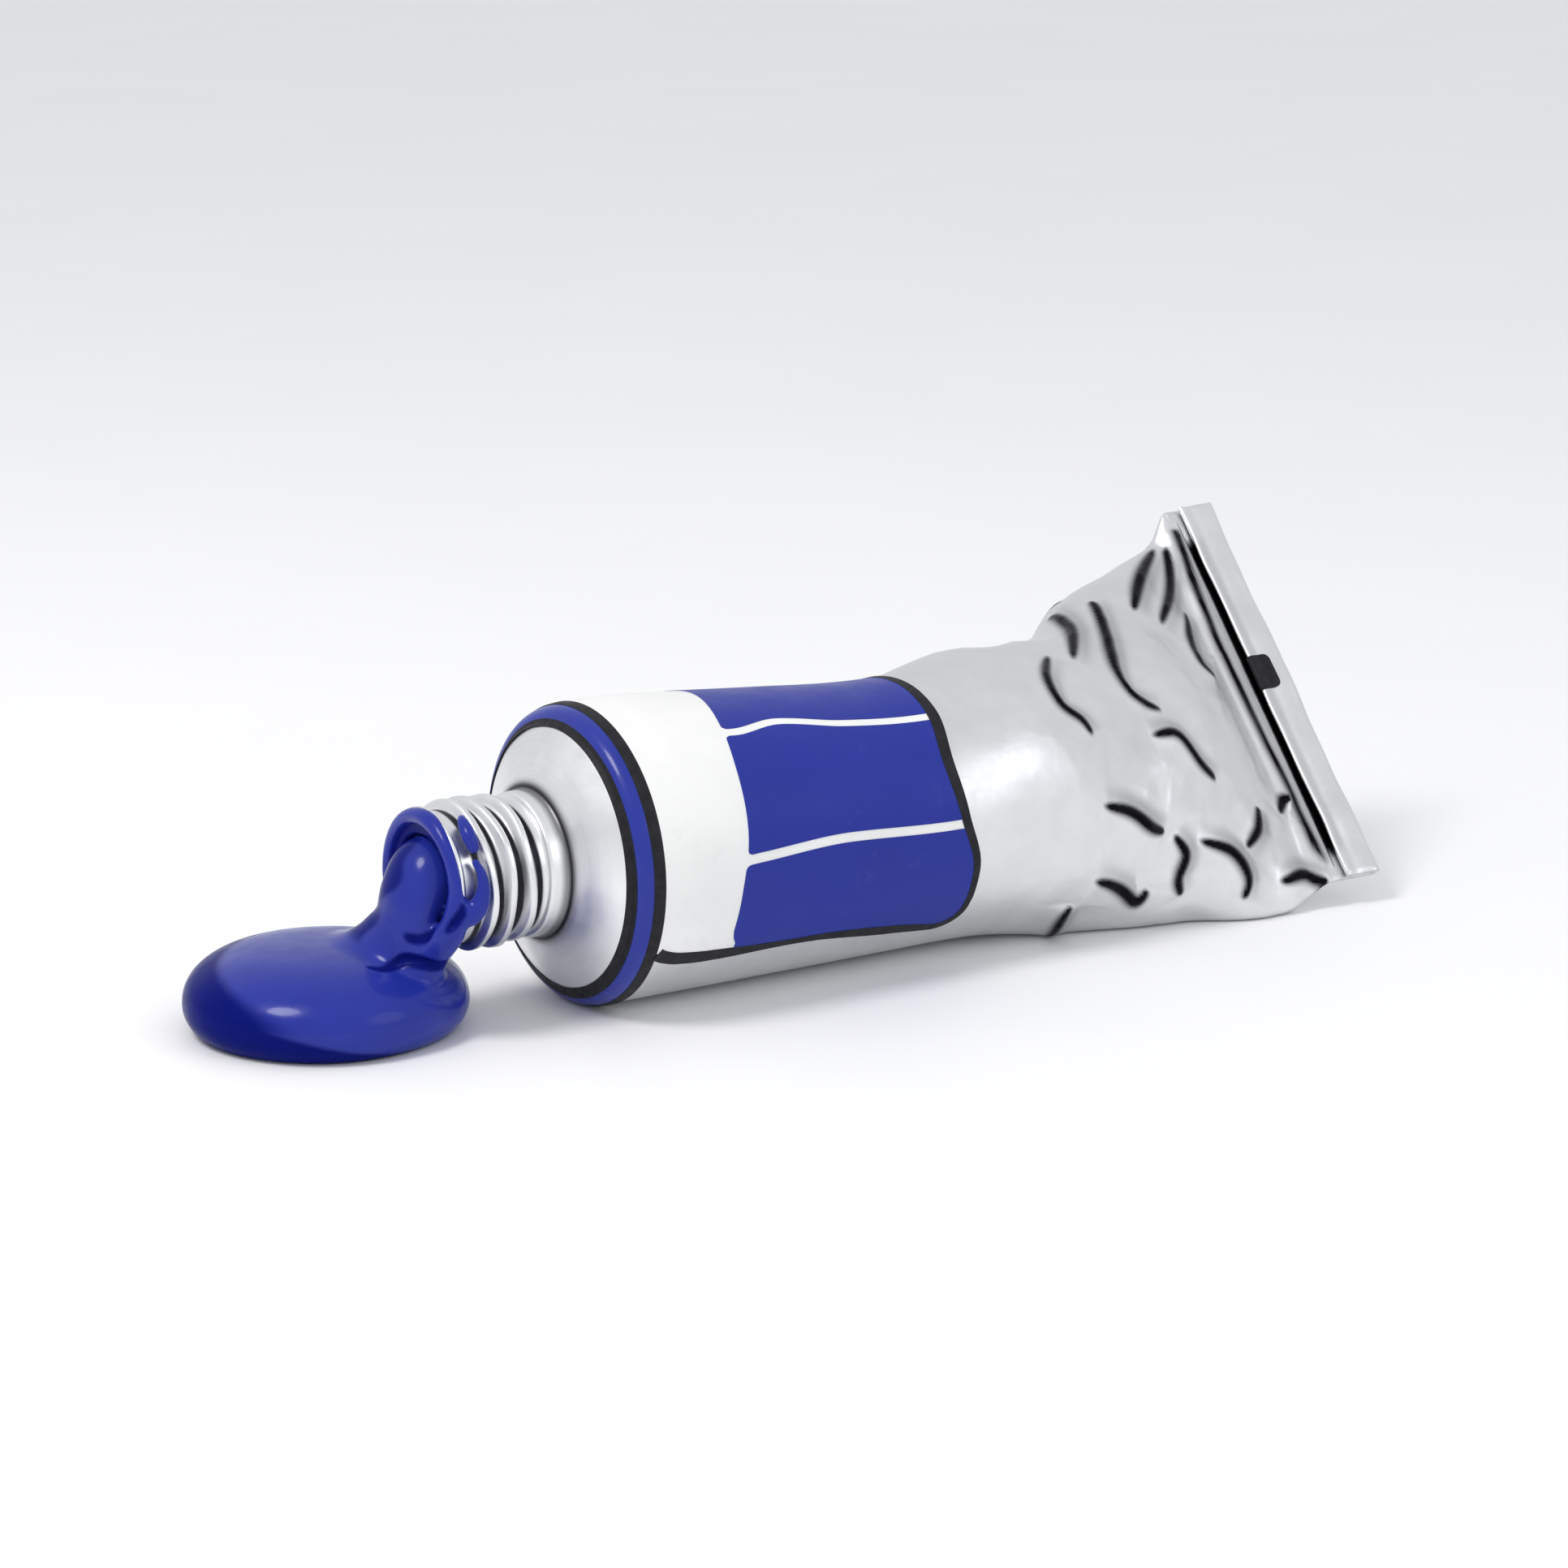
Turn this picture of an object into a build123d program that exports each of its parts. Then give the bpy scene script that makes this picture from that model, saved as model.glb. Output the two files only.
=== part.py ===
from build123d import *
import os
from math import cos, radians, sin

# A used collapsible paint tube lying on its side, its cap off, with paint run out of the nozzle.
# Millimetres. While it is modelled, x runs along the tube from the front edge of the shoulder's
# face (x = 0) to the crimp, z is the height above the table, and y = 0 holds the tube's axis.
# At the end everything moves so that the origin is under the middle of the whole object.

# Tube
TUBE_R = 15.0            # the 30 mm tube
SLEEVE_FRONT_X = 2.4     # the sleeve starts behind the colour band
SKIRT_END_X = 6.5        # the head's skirt reaches this far into it
LABEL_FRONT_X = 2.6
PANEL_FRONT_X = 12.8
LABEL_BACK_X = 38.8
SLEEVE_END_X = 85.6      # the flattened end, just before the fold
SEAL_X = 83.6            # the latex seal fills the flattened end from here back
SLEEVE_WALL = 0.3
LINING_WALL = 0.1
BLADE_TILT = 49.5        # degrees from level to the flattened end's width
STATION_STEP = 3.0       # between sections where the tube flattens
REACH = 40.0             # half the size of a cutting body, past the whole tube

# The sleeve's section along the tube: x, half width, half thickness and height of the middle.
# It is round and rests on the table at the front, is squeezed at the label's back edge, and
# flattens from there to a blade.
SHAPE = [
    (SLEEVE_FRONT_X, TUBE_R, TUBE_R, TUBE_R),
    (SKIRT_END_X, TUBE_R, TUBE_R, TUBE_R),
    (PANEL_FRONT_X, 14.8, 14.8, 14.8),
    (24.0, 14.3, 14.3, 14.3),
    (LABEL_BACK_X, 13.8, 13.8, 13.8),
    (49.0, 14.8, 14.3, 14.7),
    (59.0, 16.5, 12.8, 15.1),
    (67.0, 18.8, 10.7, 15.9),
    (75.0, 21.0, 7.6, 16.8),
    (81.0, 21.5, 4.4, 17.2),
    (84.0, 21.5, 1.6, 17.9),
    (SLEEVE_END_X, 22.8, 0.7, 20.1),
]

# Head: shoulder, collar and threaded nozzle, as distances in front of the shoulder's face
NOZZLE_LENGTH = 15.9
COLLAR_FRONT = 5.2
COLLAR_BASE = 3.4
COLLAR_R = 7.2
THREAD_ROOT_R = 6.6
THREAD_R = 7.5
THREAD_PITCH = 2.2
THREAD_START = 5.6
THREAD_HEIGHT = 8.2
THREAD_ROOT_WIDTH = 1.5
THREAD_CREST_WIDTH = 0.5
THREAD_SUNK = 0.2        # how far the thread's root runs into the nozzle's wall
LIP_LENGTH = 1.0
LIP_R = 7.2
BORE_R = 4.9
SHOULDER_R = 13.7
SHOULDER_WALL = 1.0
SKIRT_WALL = 0.8
SKIRT_GAP = 0.1          # between the skirt and the sleeve round it
SEAT_R = 14.3            # under the colour band's back edge
BAND_MIDDLE = (14.7, -0.75)    # the colour band's arc passes here: radius, distance in front

# Label and its printed panels. Angles run from straight up, round the near side, and under.
LABEL_WALL = 0.15
LABEL_FROM = -165.0
LABEL_TO = 124.0
INK_WALL = 0.05
LINE_WIDTH = 4.0         # degrees, the white line between two panels
PANEL_EDGES = [-123.0, -84.5, -32.0, 32.0, 84.5, LABEL_TO]
PANEL_NAMES = ["back_lower", "back_upper", "top", "middle", "lower"]

# Folded crimp, turning on the fold line
FOLD_X = 86.6
FOLD_Z = 20.2
CRIMP_HALF_WIDTH = 23.0
CRIMP_END = 5.8          # beyond the fold line
FLAP_START = 1.2
LAYER = 0.7              # two thicknesses of foil and the seal
LAYER_GAP = 0.15
BEAD_R = 0.45
MARK_ALONG = 2.8
MARK_ACROSS = 4.0
MARK_THICK = 0.06
MARK_CORNER_R = 0.7
MARK_U = 1.9             # up the blade from its middle
MARK_START = 1.6         # behind the fold line

# Paint
PUDDLE_X = -23.1
PUDDLE_Y = 6.6
PUDDLE_R = 14.8
PUDDLE_BASE_R = 13.0
PUDDLE_EDGE_Z = 2.8
PUDDLE_SHOULDER_R = 12.7
PUDDLE_SHOULDER_Z = 5.6
PUDDLE_HEIGHT = 8.6
COAT = 0.45              # paint left on the lip
MOUTH_FILL = 15.0        # the paint in the bore reaches this far in front of the face
STREAM = [               # centre, direction of flow, radius
    ((-NOZZLE_LENGTH - COAT, 0.0, 14.6), (-1, 0, -0.25), 4.3),
    ((-17.9, 0.2, 12.8), (-0.6, 0, -1), 4.1),
    ((-18.4, 0.6, 10.0), (-0.15, 0, -1), 4.3),
    ((-18.6, 1.2, 7.4), (0, 0, -1), 4.7),
    ((-18.6, 2.0, 5.0), (0, 0, -1), 6.0),
]
DROP_X = -13.6
DROP_ANGLE = 43.0
DROP_SIZE = (0.8, 2.0, 0.7)
RUN_X = -14.05
RUN_R = 0.75
RUN_FROM = 66.0
RUN_TO = 122.0

ACROSS = (0, cos(radians(BLADE_TILT)), sin(radians(BLADE_TILT)))
OUT = (0, -sin(radians(BLADE_TILT)), cos(radians(BLADE_TILT)))


def slope(a, b):
    """The slope through a station from the slopes on its two sides, with no overshoot."""
    return 2 * a * b / (a + b) if a * b > 0 else 0.0


def shape_at(x):
    """Half width, half thickness and middle height at x, on smooth curves through SHAPE."""
    i = max(k for k in range(len(SHAPE) - 1) if SHAPE[k][0] <= x)
    x0, x1 = SHAPE[i][0], SHAPE[i + 1][0]
    t = (x - x0) / (x1 - x0)
    values = []
    for column in (1, 2, 3):
        rise = [(q[column] - p[column]) / (q[0] - p[0]) for p, q in zip(SHAPE, SHAPE[1:])]
        s0 = slope(rise[i - 1], rise[i]) if i else 0.0
        s1 = slope(rise[i], rise[i + 1]) if i + 2 < len(SHAPE) else 0.0
        y0, y1, step = SHAPE[i][column], SHAPE[i + 1][column], x1 - x0
        values.append(
            y0 * (1 + 2 * t) * (1 - t) ** 2 + step * s0 * t * (1 - t) ** 2
            + y1 * t * t * (3 - 2 * t) - step * s1 * t * t * (1 - t))
    return values


def stations(x0, x1):
    """Where the sections go: at each row of SHAPE, every few millimetres between the later rows, and
    at the seal's front."""
    inner = [SEAL_X]
    for p, q in zip(SHAPE, SHAPE[1:]):
        count = max(1, round((q[0] - p[0]) / STATION_STEP)) if p[0] >= LABEL_BACK_X else 1
        inner += [p[0] + (q[0] - p[0]) * i / count for i in range(count)]
    return [x0] + sorted(x for x in inner if x0 < x < x1) + [x1]


def tube_body(x0, x1, grow):
    """The solid inside the sleeve's outer surface grown by this much, from x0 to x1."""
    sections = []
    for x in stations(x0, x1):
        width, thick, height = shape_at(x)
        plane = Plane(origin=(x, 0, height), x_dir=ACROSS, z_dir=(1, 0, 0))
        sections.append(plane * Ellipse(width + grow, thick + grow))
    return loft(sections, ruled=True)


def tube_skin(x0, x1, outer, inner):
    return tube_body(x0, x1, outer) - tube_body(x0, x1, inner)


def slab(x0, x1):
    """Everything between two planes square to the tube."""
    return Pos((x0 + x1) / 2, 0, TUBE_R) * Box(x1 - x0, 2 * REACH, 2 * REACH)


def sector(x0, x1, start, end):
    """Everything in a range of angles round the tube's axis."""
    steps = max(2, int((end - start) / 15))
    points = [(0, TUBE_R)]
    for i in range(steps + 1):
        a = radians(start + (end - start) * i / steps)
        points.append((-REACH * sin(a), TUBE_R + REACH * cos(a)))
    wedge = make_face(Polyline(*points, close=True))
    return Pos(x0, 0, 0) * extrude(Plane.YZ * wedge, x1 - x0)


def on_nozzle(part):
    """Places a part made along +Z so that +Z points out of the nozzle."""
    return Plane(origin=(0, 0, TUBE_R), x_dir=(0, 1, 0), z_dir=(-1, 0, 0)).location * part


def revolved(*edges):
    """Turns a closed outline of (radius, distance in front of the face) round the nozzle's axis."""
    return on_nozzle(revolve(Plane.XZ * make_face(edges), Axis.Z))


def around_axis(x, radius, angle):
    a = radians(angle)
    return (x, -radius * sin(a), TUBE_R + radius * cos(a))


def tube_sleeve():
    return tube_skin(SLEEVE_FRONT_X, SLEEVE_END_X, 0, -SLEEVE_WALL)


def inner_lacquer():
    return tube_skin(SKIRT_END_X, SEAL_X, -SLEEVE_WALL, -SLEEVE_WALL - LINING_WALL)


def end_seal():
    return tube_body(SEAL_X, SLEEVE_END_X, -SLEEVE_WALL)


def head_cavity():
    """The room inside the head, from the bore's mouth to the skirt's end."""
    skirt_r = SEAT_R - SKIRT_WALL
    return revolved(Polyline(
        (0, NOZZLE_LENGTH), (BORE_R, NOZZLE_LENGTH), (BORE_R, COLLAR_BASE - SHOULDER_WALL),
        (SHOULDER_R - SHOULDER_WALL, -SHOULDER_WALL), (skirt_r, -SLEEVE_FRONT_X - SHOULDER_WALL),
        (skirt_r, -SKIRT_END_X), (0, -SKIRT_END_X), close=True))


def thread():
    path = Helix(THREAD_PITCH, THREAD_HEIGHT, THREAD_ROOT_R)
    plane = Plane(origin=path @ 0, x_dir=(1, 0, 0), z_dir=path % 0)
    rise = THREAD_R - THREAD_ROOT_R
    profile = make_face(Polyline(
        (-THREAD_SUNK, -THREAD_ROOT_WIDTH / 2), (rise, -THREAD_CREST_WIDTH / 2),
        (rise, THREAD_CREST_WIDTH / 2), (-THREAD_SUNK, THREAD_ROOT_WIDTH / 2), close=True))
    return on_nozzle(Pos(0, 0, THREAD_START) * sweep(plane * profile, path, is_frenet=True))


def tube_head():
    skirt_r = TUBE_R - SLEEVE_WALL - SKIRT_GAP
    lip_back = NOZZLE_LENGTH - LIP_LENGTH
    shell = revolved(Polyline(
        (0, NOZZLE_LENGTH), (LIP_R, NOZZLE_LENGTH), (LIP_R, lip_back), (THREAD_ROOT_R, lip_back),
        (THREAD_ROOT_R, COLLAR_FRONT), (COLLAR_R, COLLAR_FRONT), (COLLAR_R, COLLAR_BASE),
        (SHOULDER_R, 0), (SEAT_R, -SLEEVE_FRONT_X), (skirt_r, -SLEEVE_FRONT_X),
        (skirt_r, -SKIRT_END_X), (0, -SKIRT_END_X), close=True))
    return shell + thread() - head_cavity()


def colour_band():
    """Rounds the corner from the shoulder's face to the sleeve."""
    edge = ThreePointArc((SHOULDER_R, 0), BAND_MIDDLE, (TUBE_R, -SLEEVE_FRONT_X))
    back = Line((TUBE_R, -SLEEVE_FRONT_X), (SEAT_R, -SLEEVE_FRONT_X))
    seat = Line((SEAT_R, -SLEEVE_FRONT_X), (SHOULDER_R, 0))
    return revolved(edge, back, seat)


def label_sheet():
    skin = tube_skin(LABEL_FRONT_X, LABEL_BACK_X, LABEL_WALL, 0)
    return skin & sector(LABEL_FRONT_X, LABEL_BACK_X, LABEL_FROM, LABEL_TO)


def label_panel(index):
    start = PANEL_EDGES[index] + (LINE_WIDTH / 2 if index else 0)
    last = index == len(PANEL_NAMES) - 1
    end = PANEL_EDGES[index + 1] - (0 if last else LINE_WIDTH / 2)
    skin = tube_skin(PANEL_FRONT_X, LABEL_BACK_X, LABEL_WALL + INK_WALL, LABEL_WALL)
    return skin & sector(PANEL_FRONT_X, LABEL_BACK_X, start, end)


def fold_plane():
    """Local x runs away from the fold line, local y out of the flap's side, z along the blade's width."""
    return Plane(origin=(FOLD_X, 0, FOLD_Z), x_dir=(1, 0, 0), z_dir=tuple(-c for c in ACROSS))


def crimp_fold():
    """The end folded back on itself, with a round bead on the fold line."""
    half = LAYER / 2
    bend_y = (LAYER + LAYER_GAP) / 2
    bend_r = LAYER + LAYER_GAP / 2
    bend_x = CRIMP_END - bend_r
    flap_y = LAYER + LAYER_GAP
    flap_x = FLAP_START + half
    outline = make_face([
        Line((0, -half), (bend_x, -half)),
        ThreePointArc((bend_x, -half), (CRIMP_END, bend_y), (bend_x, flap_y + half)),
        Line((bend_x, flap_y + half), (flap_x, flap_y + half)),
        ThreePointArc((flap_x, flap_y + half), (FLAP_START, flap_y), (flap_x, flap_y - half)),
        Line((flap_x, flap_y - half), (bend_x, flap_y - half)),
        ThreePointArc((bend_x, flap_y - half), (bend_x + LAYER_GAP / 2, bend_y), (bend_x, half)),
        Line((bend_x, half), (0, half)),
        Line((0, half), (0, -half)),
    ])
    section = fold_plane() * (outline + Circle(BEAD_R))
    return extrude(section, CRIMP_HALF_WIDTH, both=True)


def eye_mark():
    """A printed registration mark on the flap."""
    top = LAYER * 1.5 + LAYER_GAP
    plane = Plane(
        origin=(FOLD_X + MARK_START + MARK_ALONG / 2, MARK_U * ACROSS[1] + top * OUT[1],
                FOLD_Z + MARK_U * ACROSS[2] + top * OUT[2]),
        x_dir=(1, 0, 0), z_dir=OUT)
    return extrude(plane * RectangleRounded(MARK_ALONG, MARK_ACROSS, MARK_CORNER_R), MARK_THICK)


def paint_fill():
    body = tube_body(SKIRT_END_X, SEAL_X, -SLEEVE_WALL - LINING_WALL)
    front = head_cavity() & slab(-MOUTH_FILL, SKIRT_END_X)
    return front + body


def paint_rim():
    """Paint left all round the lip."""
    front = NOZZLE_LENGTH + COAT
    back = NOZZLE_LENGTH - LIP_LENGTH
    return revolved(Polyline(
        (BORE_R, NOZZLE_LENGTH), (BORE_R, front), (LIP_R, front), (LIP_R + COAT, front - COAT),
        (LIP_R + COAT, back), (LIP_R, back), (LIP_R, NOZZLE_LENGTH), close=True))


def paint_puddle():
    shoulder = (PUDDLE_SHOULDER_R, PUDDLE_SHOULDER_Z)
    top = (0, PUDDLE_HEIGHT)
    edge = ThreePointArc((PUDDLE_BASE_R, 0), (PUDDLE_R, PUDDLE_EDGE_Z), shoulder)
    crown = Spline(shoulder, top, tangents=[edge % 1, (-1, 0)])
    outline = make_face([edge, crown, Line(top, (0, 0)), Line((0, 0), (PUDDLE_BASE_R, 0))])
    return Pos(PUDDLE_X, PUDDLE_Y, 0) * revolve(Plane.XZ * outline, Axis.Z)


def paint_stream():
    sections = [Plane(origin=c, x_dir=(0, 1, 0), z_dir=d) * Circle(r) for c, d, r in STREAM]
    from_face = (Align.CENTER, Align.CENTER, Align.MIN)
    neck = on_nozzle(Cylinder(LIP_R + COAT, NOZZLE_LENGTH + COAT, align=from_face))
    return loft(sections) - neck - paint_puddle()


def paint_drop():
    place = around_axis(DROP_X, THREAD_R + DROP_SIZE[2] + 0.02, DROP_ANGLE)
    return Pos(*place) * Rot(DROP_ANGLE, 0, 0) * scale(Sphere(1), DROP_SIZE)


def paint_run():
    """A thread of paint that has crept round the nozzle's side."""
    start = around_axis(RUN_X, THREAD_R + RUN_R + 0.02, RUN_FROM)
    a = radians(RUN_FROM)
    section = Plane(origin=start, x_dir=(1, 0, 0), z_dir=(0, -cos(a), -sin(a))) * Circle(RUN_R)
    return revolve(section, Axis((0, 0, TUBE_R), (1, 0, 0)), RUN_TO - RUN_FROM)


def build():
    parts = {
        "tube_sleeve": tube_sleeve(),
        "tube_head": tube_head(),
        "colour_band": colour_band(),
        "label_sheet": label_sheet(),
        "inner_lacquer": inner_lacquer(),
        "end_seal": end_seal(),
        "paint_fill": paint_fill(),
        "paint_rim": paint_rim(),
        "paint_stream": paint_stream(),
        "paint_puddle": paint_puddle(),
        "paint_drop": paint_drop(),
        "paint_run": paint_run(),
        "crimp_fold": crimp_fold(),
        "eye_mark": eye_mark(),
    }
    for index, name in enumerate(PANEL_NAMES):
        parts[f"label_{name}_panel"] = label_panel(index)
    return parts


# The middle of the whole object's box, under which the origin goes
near_side = -(CRIMP_HALF_WIDTH * ACROSS[1] - (LAYER * 1.5 + LAYER_GAP) * OUT[1])
ORIGIN_X = (PUDDLE_X - PUDDLE_R + FOLD_X + CRIMP_END) / 2
ORIGIN_Y = (near_side + PUDDLE_Y + PUDDLE_R) / 2

os.makedirs("parts", exist_ok=True)
for name, part in build().items():
    export_step(Pos(-ORIGIN_X, -ORIGIN_Y, 0) * part, f"parts/{name}.step")
print("fold line", FOLD_X - ORIGIN_X, -ORIGIN_Y, FOLD_Z, "axis", [-c for c in ACROSS])
print("puddle", PUDDLE_X - ORIGIN_X, PUDDLE_Y - ORIGIN_Y, 0)
print("nozzle mouth", -NOZZLE_LENGTH - ORIGIN_X, -ORIGIN_Y, TUBE_R)
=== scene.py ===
import math
import random

import bmesh
import bpy
import numpy as np
import openvdb
from mathutils import Matrix, Vector, noise


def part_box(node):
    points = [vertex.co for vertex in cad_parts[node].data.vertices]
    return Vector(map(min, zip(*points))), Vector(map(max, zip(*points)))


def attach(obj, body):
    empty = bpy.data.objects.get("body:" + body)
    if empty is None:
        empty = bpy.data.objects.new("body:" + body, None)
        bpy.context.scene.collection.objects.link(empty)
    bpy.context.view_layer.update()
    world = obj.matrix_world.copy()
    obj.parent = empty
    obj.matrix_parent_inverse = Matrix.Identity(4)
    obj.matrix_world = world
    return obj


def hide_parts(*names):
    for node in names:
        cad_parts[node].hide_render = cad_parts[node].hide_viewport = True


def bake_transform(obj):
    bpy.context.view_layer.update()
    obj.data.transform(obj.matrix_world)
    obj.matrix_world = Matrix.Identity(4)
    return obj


# A used paint tube lying on its side, its cap off, with ultramarine paint run out of the nozzle.
# Everything is worked out in millimetres in the tube's own frame: x along the tube from the front
# edge of the shoulder's face to the crimp, y from the tube's axis to the far side, z above the
# table. to_row() puts it in the row frame, in metres.

MM = 0.001

# The tube's section along it: x, half width, half thickness, height of the middle, squareness
SECTIONS = [
    (2.4, 15.0, 15.0, 15.0, 2.0),
    (6.5, 15.0, 15.0, 15.0, 2.0),
    (12.8, 14.8, 14.8, 14.8, 2.0),
    (24.0, 14.3, 14.3, 14.3, 2.0),
    (38.8, 13.8, 13.8, 13.8, 2.0),
    (49.0, 14.8, 14.3, 14.7, 2.0),
    (59.0, 15.2, 12.8, 14.45, 2.0),
    (64.0, 16.0, 11.5, 14.6, 2.0),
    (69.0, 17.7, 10.1, 15.3, 2.0),
    (75.0, 20.3, 7.6, 16.4, 2.0),
    (81.0, 21.3, 4.4, 17.1, 2.1),
    (84.0, 21.7, 1.7, 18.3, 2.4),
    (85.3, 22.3, 0.85, 19.7, 3.4),
    (86.0, 22.8, 0.5, 20.15, 5.0),
    (86.5, 22.9, 0.43, 20.2, 6.0),
    (87.4, 22.9, 0.42, 20.2, 6.0),
]
SLEEVE_END_X = SECTIONS[-1][0]
# From the undented surface to the inner wall, by x: more where dents go in
WALL = [(2.4, 0.3), (40, 0.3), (47, 1.0), (60, 1.6), (75, 1.6), (81, 1.3), (84, 0.6), (85.6, 0.3),
        (87.4, 0.26)]
SKIRT_END_X = 6.5
AXIS_Z = 15.0
BLADE_TILT = math.radians(49.5)
ACROSS = np.array([0.0, math.cos(BLADE_TILT), math.sin(BLADE_TILT)])
OUT = np.array([0.0, -math.sin(BLADE_TILT), math.cos(BLADE_TILT)])
AROUND = 400             # points round the sleeve
CREASED_FROM_X = 39.0    # the foil is smooth in front of this
ROW_STEP = 0.25          # between the rows of the creased part
TABLE_GAP = 0.04         # between the foil and the table it lies on
TABLE_BEND = 0.25        # how softly the foil turns up from the table
NEAR_TABLE = 1.5         # height below which the table shapes it
DEEPEST_DENT = 1.3
SAGS = [(1.9, 61, 9, 192, 24), (1.3, 77.5, 4.5, 190, 20)]  # underneath: depth, x, length, angle, spread

# Creases in the foil: height of the step, then its line as distance along the tube and angle round
# the section, where 0 is the high far edge, 90 the near face and 180 the low near edge. The side
# towards the nozzle, or below, rises to the line, and the other side falls away from it.
CREASES = [
    (0.62, [(58.3, 52), (55.1, 67), (54.5, 81.5), (56.3, 89.5), (57.1, 96)]),
    (0.70, [(70.4, 28), (69.9, 35), (68.4, 48), (65.6, 66), (65.3, 78), (67.2, 84.5), (69.2, 88)]),
    (0.50, [(67.2, 8), (66.6, 20), (65.7, 33), (64.4, 41), (62.9, 48.5), (61.0, 57)]),
    (0.55, [(83.5, 17.5), (77.5, 37), (74.3, 48)]),
    (0.50, [(84.6, 28.5), (82.7, 43), (77.1, 57.5)]),
    (0.50, [(82.9, 57), (80.8, 66), (80.3, 74.5), (81.9, 80.5)]),
    (0.62, [(66.1, 96.5), (69.5, 98), (71.3, 108), (73.4, 114.5)]),
    (0.62, [(56.3, 124), (60.1, 127), (62.7, 133), (64.7, 135)]),
    (0.60, [(65.9, 136), (67.3, 144.5), (66.5, 156), (67.3, 166)]),
    (0.60, [(69.3, 138), (73.3, 141), (75.1, 152), (74.5, 166)]),
    (0.50, [(56.0, 157.5), (58.1, 159.3), (60.1, 163.5), (61.7, 168.3), (62.5, 166), (62.7, 162)]),
    (0.45, [(79.3, 122), (78.1, 131), (75.9, 139)]),
    (0.45, [(79.7, 155), (83.5, 154.5), (85.8, 180)]),
    (0.40, [(85.2, 113.5), (83.1, 123)]),
    (0.70, [(54.1, 171), (53.9, 180), (54.9, 198)]),
]
FOLD_LINE = [(86.3, 40), (86.3, 47), (85.9, 66), (85.3, 84), (85.7, 103), (85.7, 113.5), (85.9, 128.5),
             (86.4, 142)]
CREASE_REACH = 7.5       # how far a crease shapes the foil beside it
FOLD_REACH = 4.0
CREASE_SHADE = 0.32      # painted shade beside a crease: how dark the foil is there, against its bottom
HIDDEN_CREASES = 16      # more of them, on the far side
HIDDEN_SEED = 7

# Label, in millimetres along the tube and degrees from straight up towards the near side
LABEL_FRONT_X = 2.6
LABEL_WALL = 0.15
INK_WALL = 0.05
LABEL_R = 14.3           # the tube's mean radius under it, for lengths round the tube
SHEET_R = 14.2           # the same, for where a sheet's corners start
SHIFT_R = 14.4           # the same, for how far lines are moved
PANEL_FRONT = [(-124, 12.6), (-84, 12.4), (-32, 13.6), (-5, 15.6), (32, 14.0), (50, 13.2), (76, 12.6),
               (98, 11.6), (120, 11.2), (135, 11.2)]
LABEL_BACK = [(-166, 39.4), (-90, 38.8), (-30, 39.4), (9, 39.8), (30, 39.6), (56, 38.6), (79, 39.2),
              (103, 40.6), (135, 40.4)]
LABEL_LOW_EDGE = [(2, 117), (3.4, 120), (5.5, 122.6), (9, 124), (22, 124.5), (32, 128), (41, 132.5)]
LABEL_FAR_EDGE = [(2, -165), (41, -166)]
TOP_LINE = [(11, 32), (15, 32.5), (21, 28), (28.4, 31.5), (38.4, 32.5), (41, 32.5)]
MIDDLE_LINE = [(10, 85.5), (14, 84.5), (25, 81), (38.6, 82), (41, 82)]
FAR_UPPER_LINE = [(10, -32), (20, -33.5), (31, -31), (41, -32)]
FAR_LOWER_LINE = [(10, -84), (22, -86), (33, -83.5), (41, -84)]
FAR_LAST_LINE = [(10, -123), (41, -124)]
LINE_WIDTH = 0.95
KEYLINE_WIDTH = 1.3
KEYLINE_PROUD = 0.03     # how far it stands above the panels' ink
LABEL_CORNER_R = 3.0

# Head, as distances in front of the shoulder's face
THREAD_ROOT_R = 6.6
THREAD_R = 7.5
THREAD_PITCH = 2.2
THREAD_START = 6.35
THREAD_HEIGHT = 7.3
COLLAR_END = 5.5
LIP_START = 14.9
BORE_R = 4.9
FACE_R = 13.55           # where the face meets the band
NECK_R = 7.45            # where the face meets the collar
LATHE_COLUMNS = 256

# Crimp, in its own plane: away from the fold line, out of the blade, and along its width
FOLD_X = 86.6
FOLD_Z = 20.2
CRIMP_HALF_WIDTH = 23.0
CRIMP_START = -0.3
CRIMP_END = 5.8
LAYER = 0.7
HALF_LAYER = LAYER / 2
LAYER_GAP = 0.15
FLAP = LAYER + LAYER_GAP  # how far out of the blade the flap's middle is
FLAP_START = 1.2
BEND_R = LAYER + LAYER_GAP / 2
BEND_X = CRIMP_END - BEND_R
MIDDLE = FLAP / 2        # between the blade's layer and the flap
MARK_REACH = 3.7
MARK_WIDTH = 4.1
MARK_CORNER_R = 0.8
MARK_CENTRE = 1.9

# Paint
PUDDLE = (-22.9, 6.45)
PUDDLE_R = 14.4
LIT_MIDDLE = (PUDDLE[0] + 0.8, PUDDLE[1] - 3.7)  # of the puddle's lit part, round which it has painted shade
LEFT = (-0.83, 0.56)     # to the viewer's left, on the table
PUDDLE_WAIST_Z = 2.8
PUDDLE_UPPER = 5.75
PUDDLE_LOWER = 5.2
VOXEL = 0.24
STREAM = [               # centre and half width; it is a tongue, thinner along the tube
    (-12.6, 0.0, 14.9, 4.2), (-15.5, 0.0, 14.9, 4.3), (-17.0, -0.2, 13.3, 4.1),
    (-17.6, -0.1, 11.0, 4.0), (-17.9, 0.6, 9.0, 4.4), (-18.4, 1.8, 6.8, 5.1), (-19.2, 3.4, 3.8, 6.0),
]
STREAM_SLIMNESS = 1.6
STREAM_MIDDLE = (-17.5, 0.0)
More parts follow.
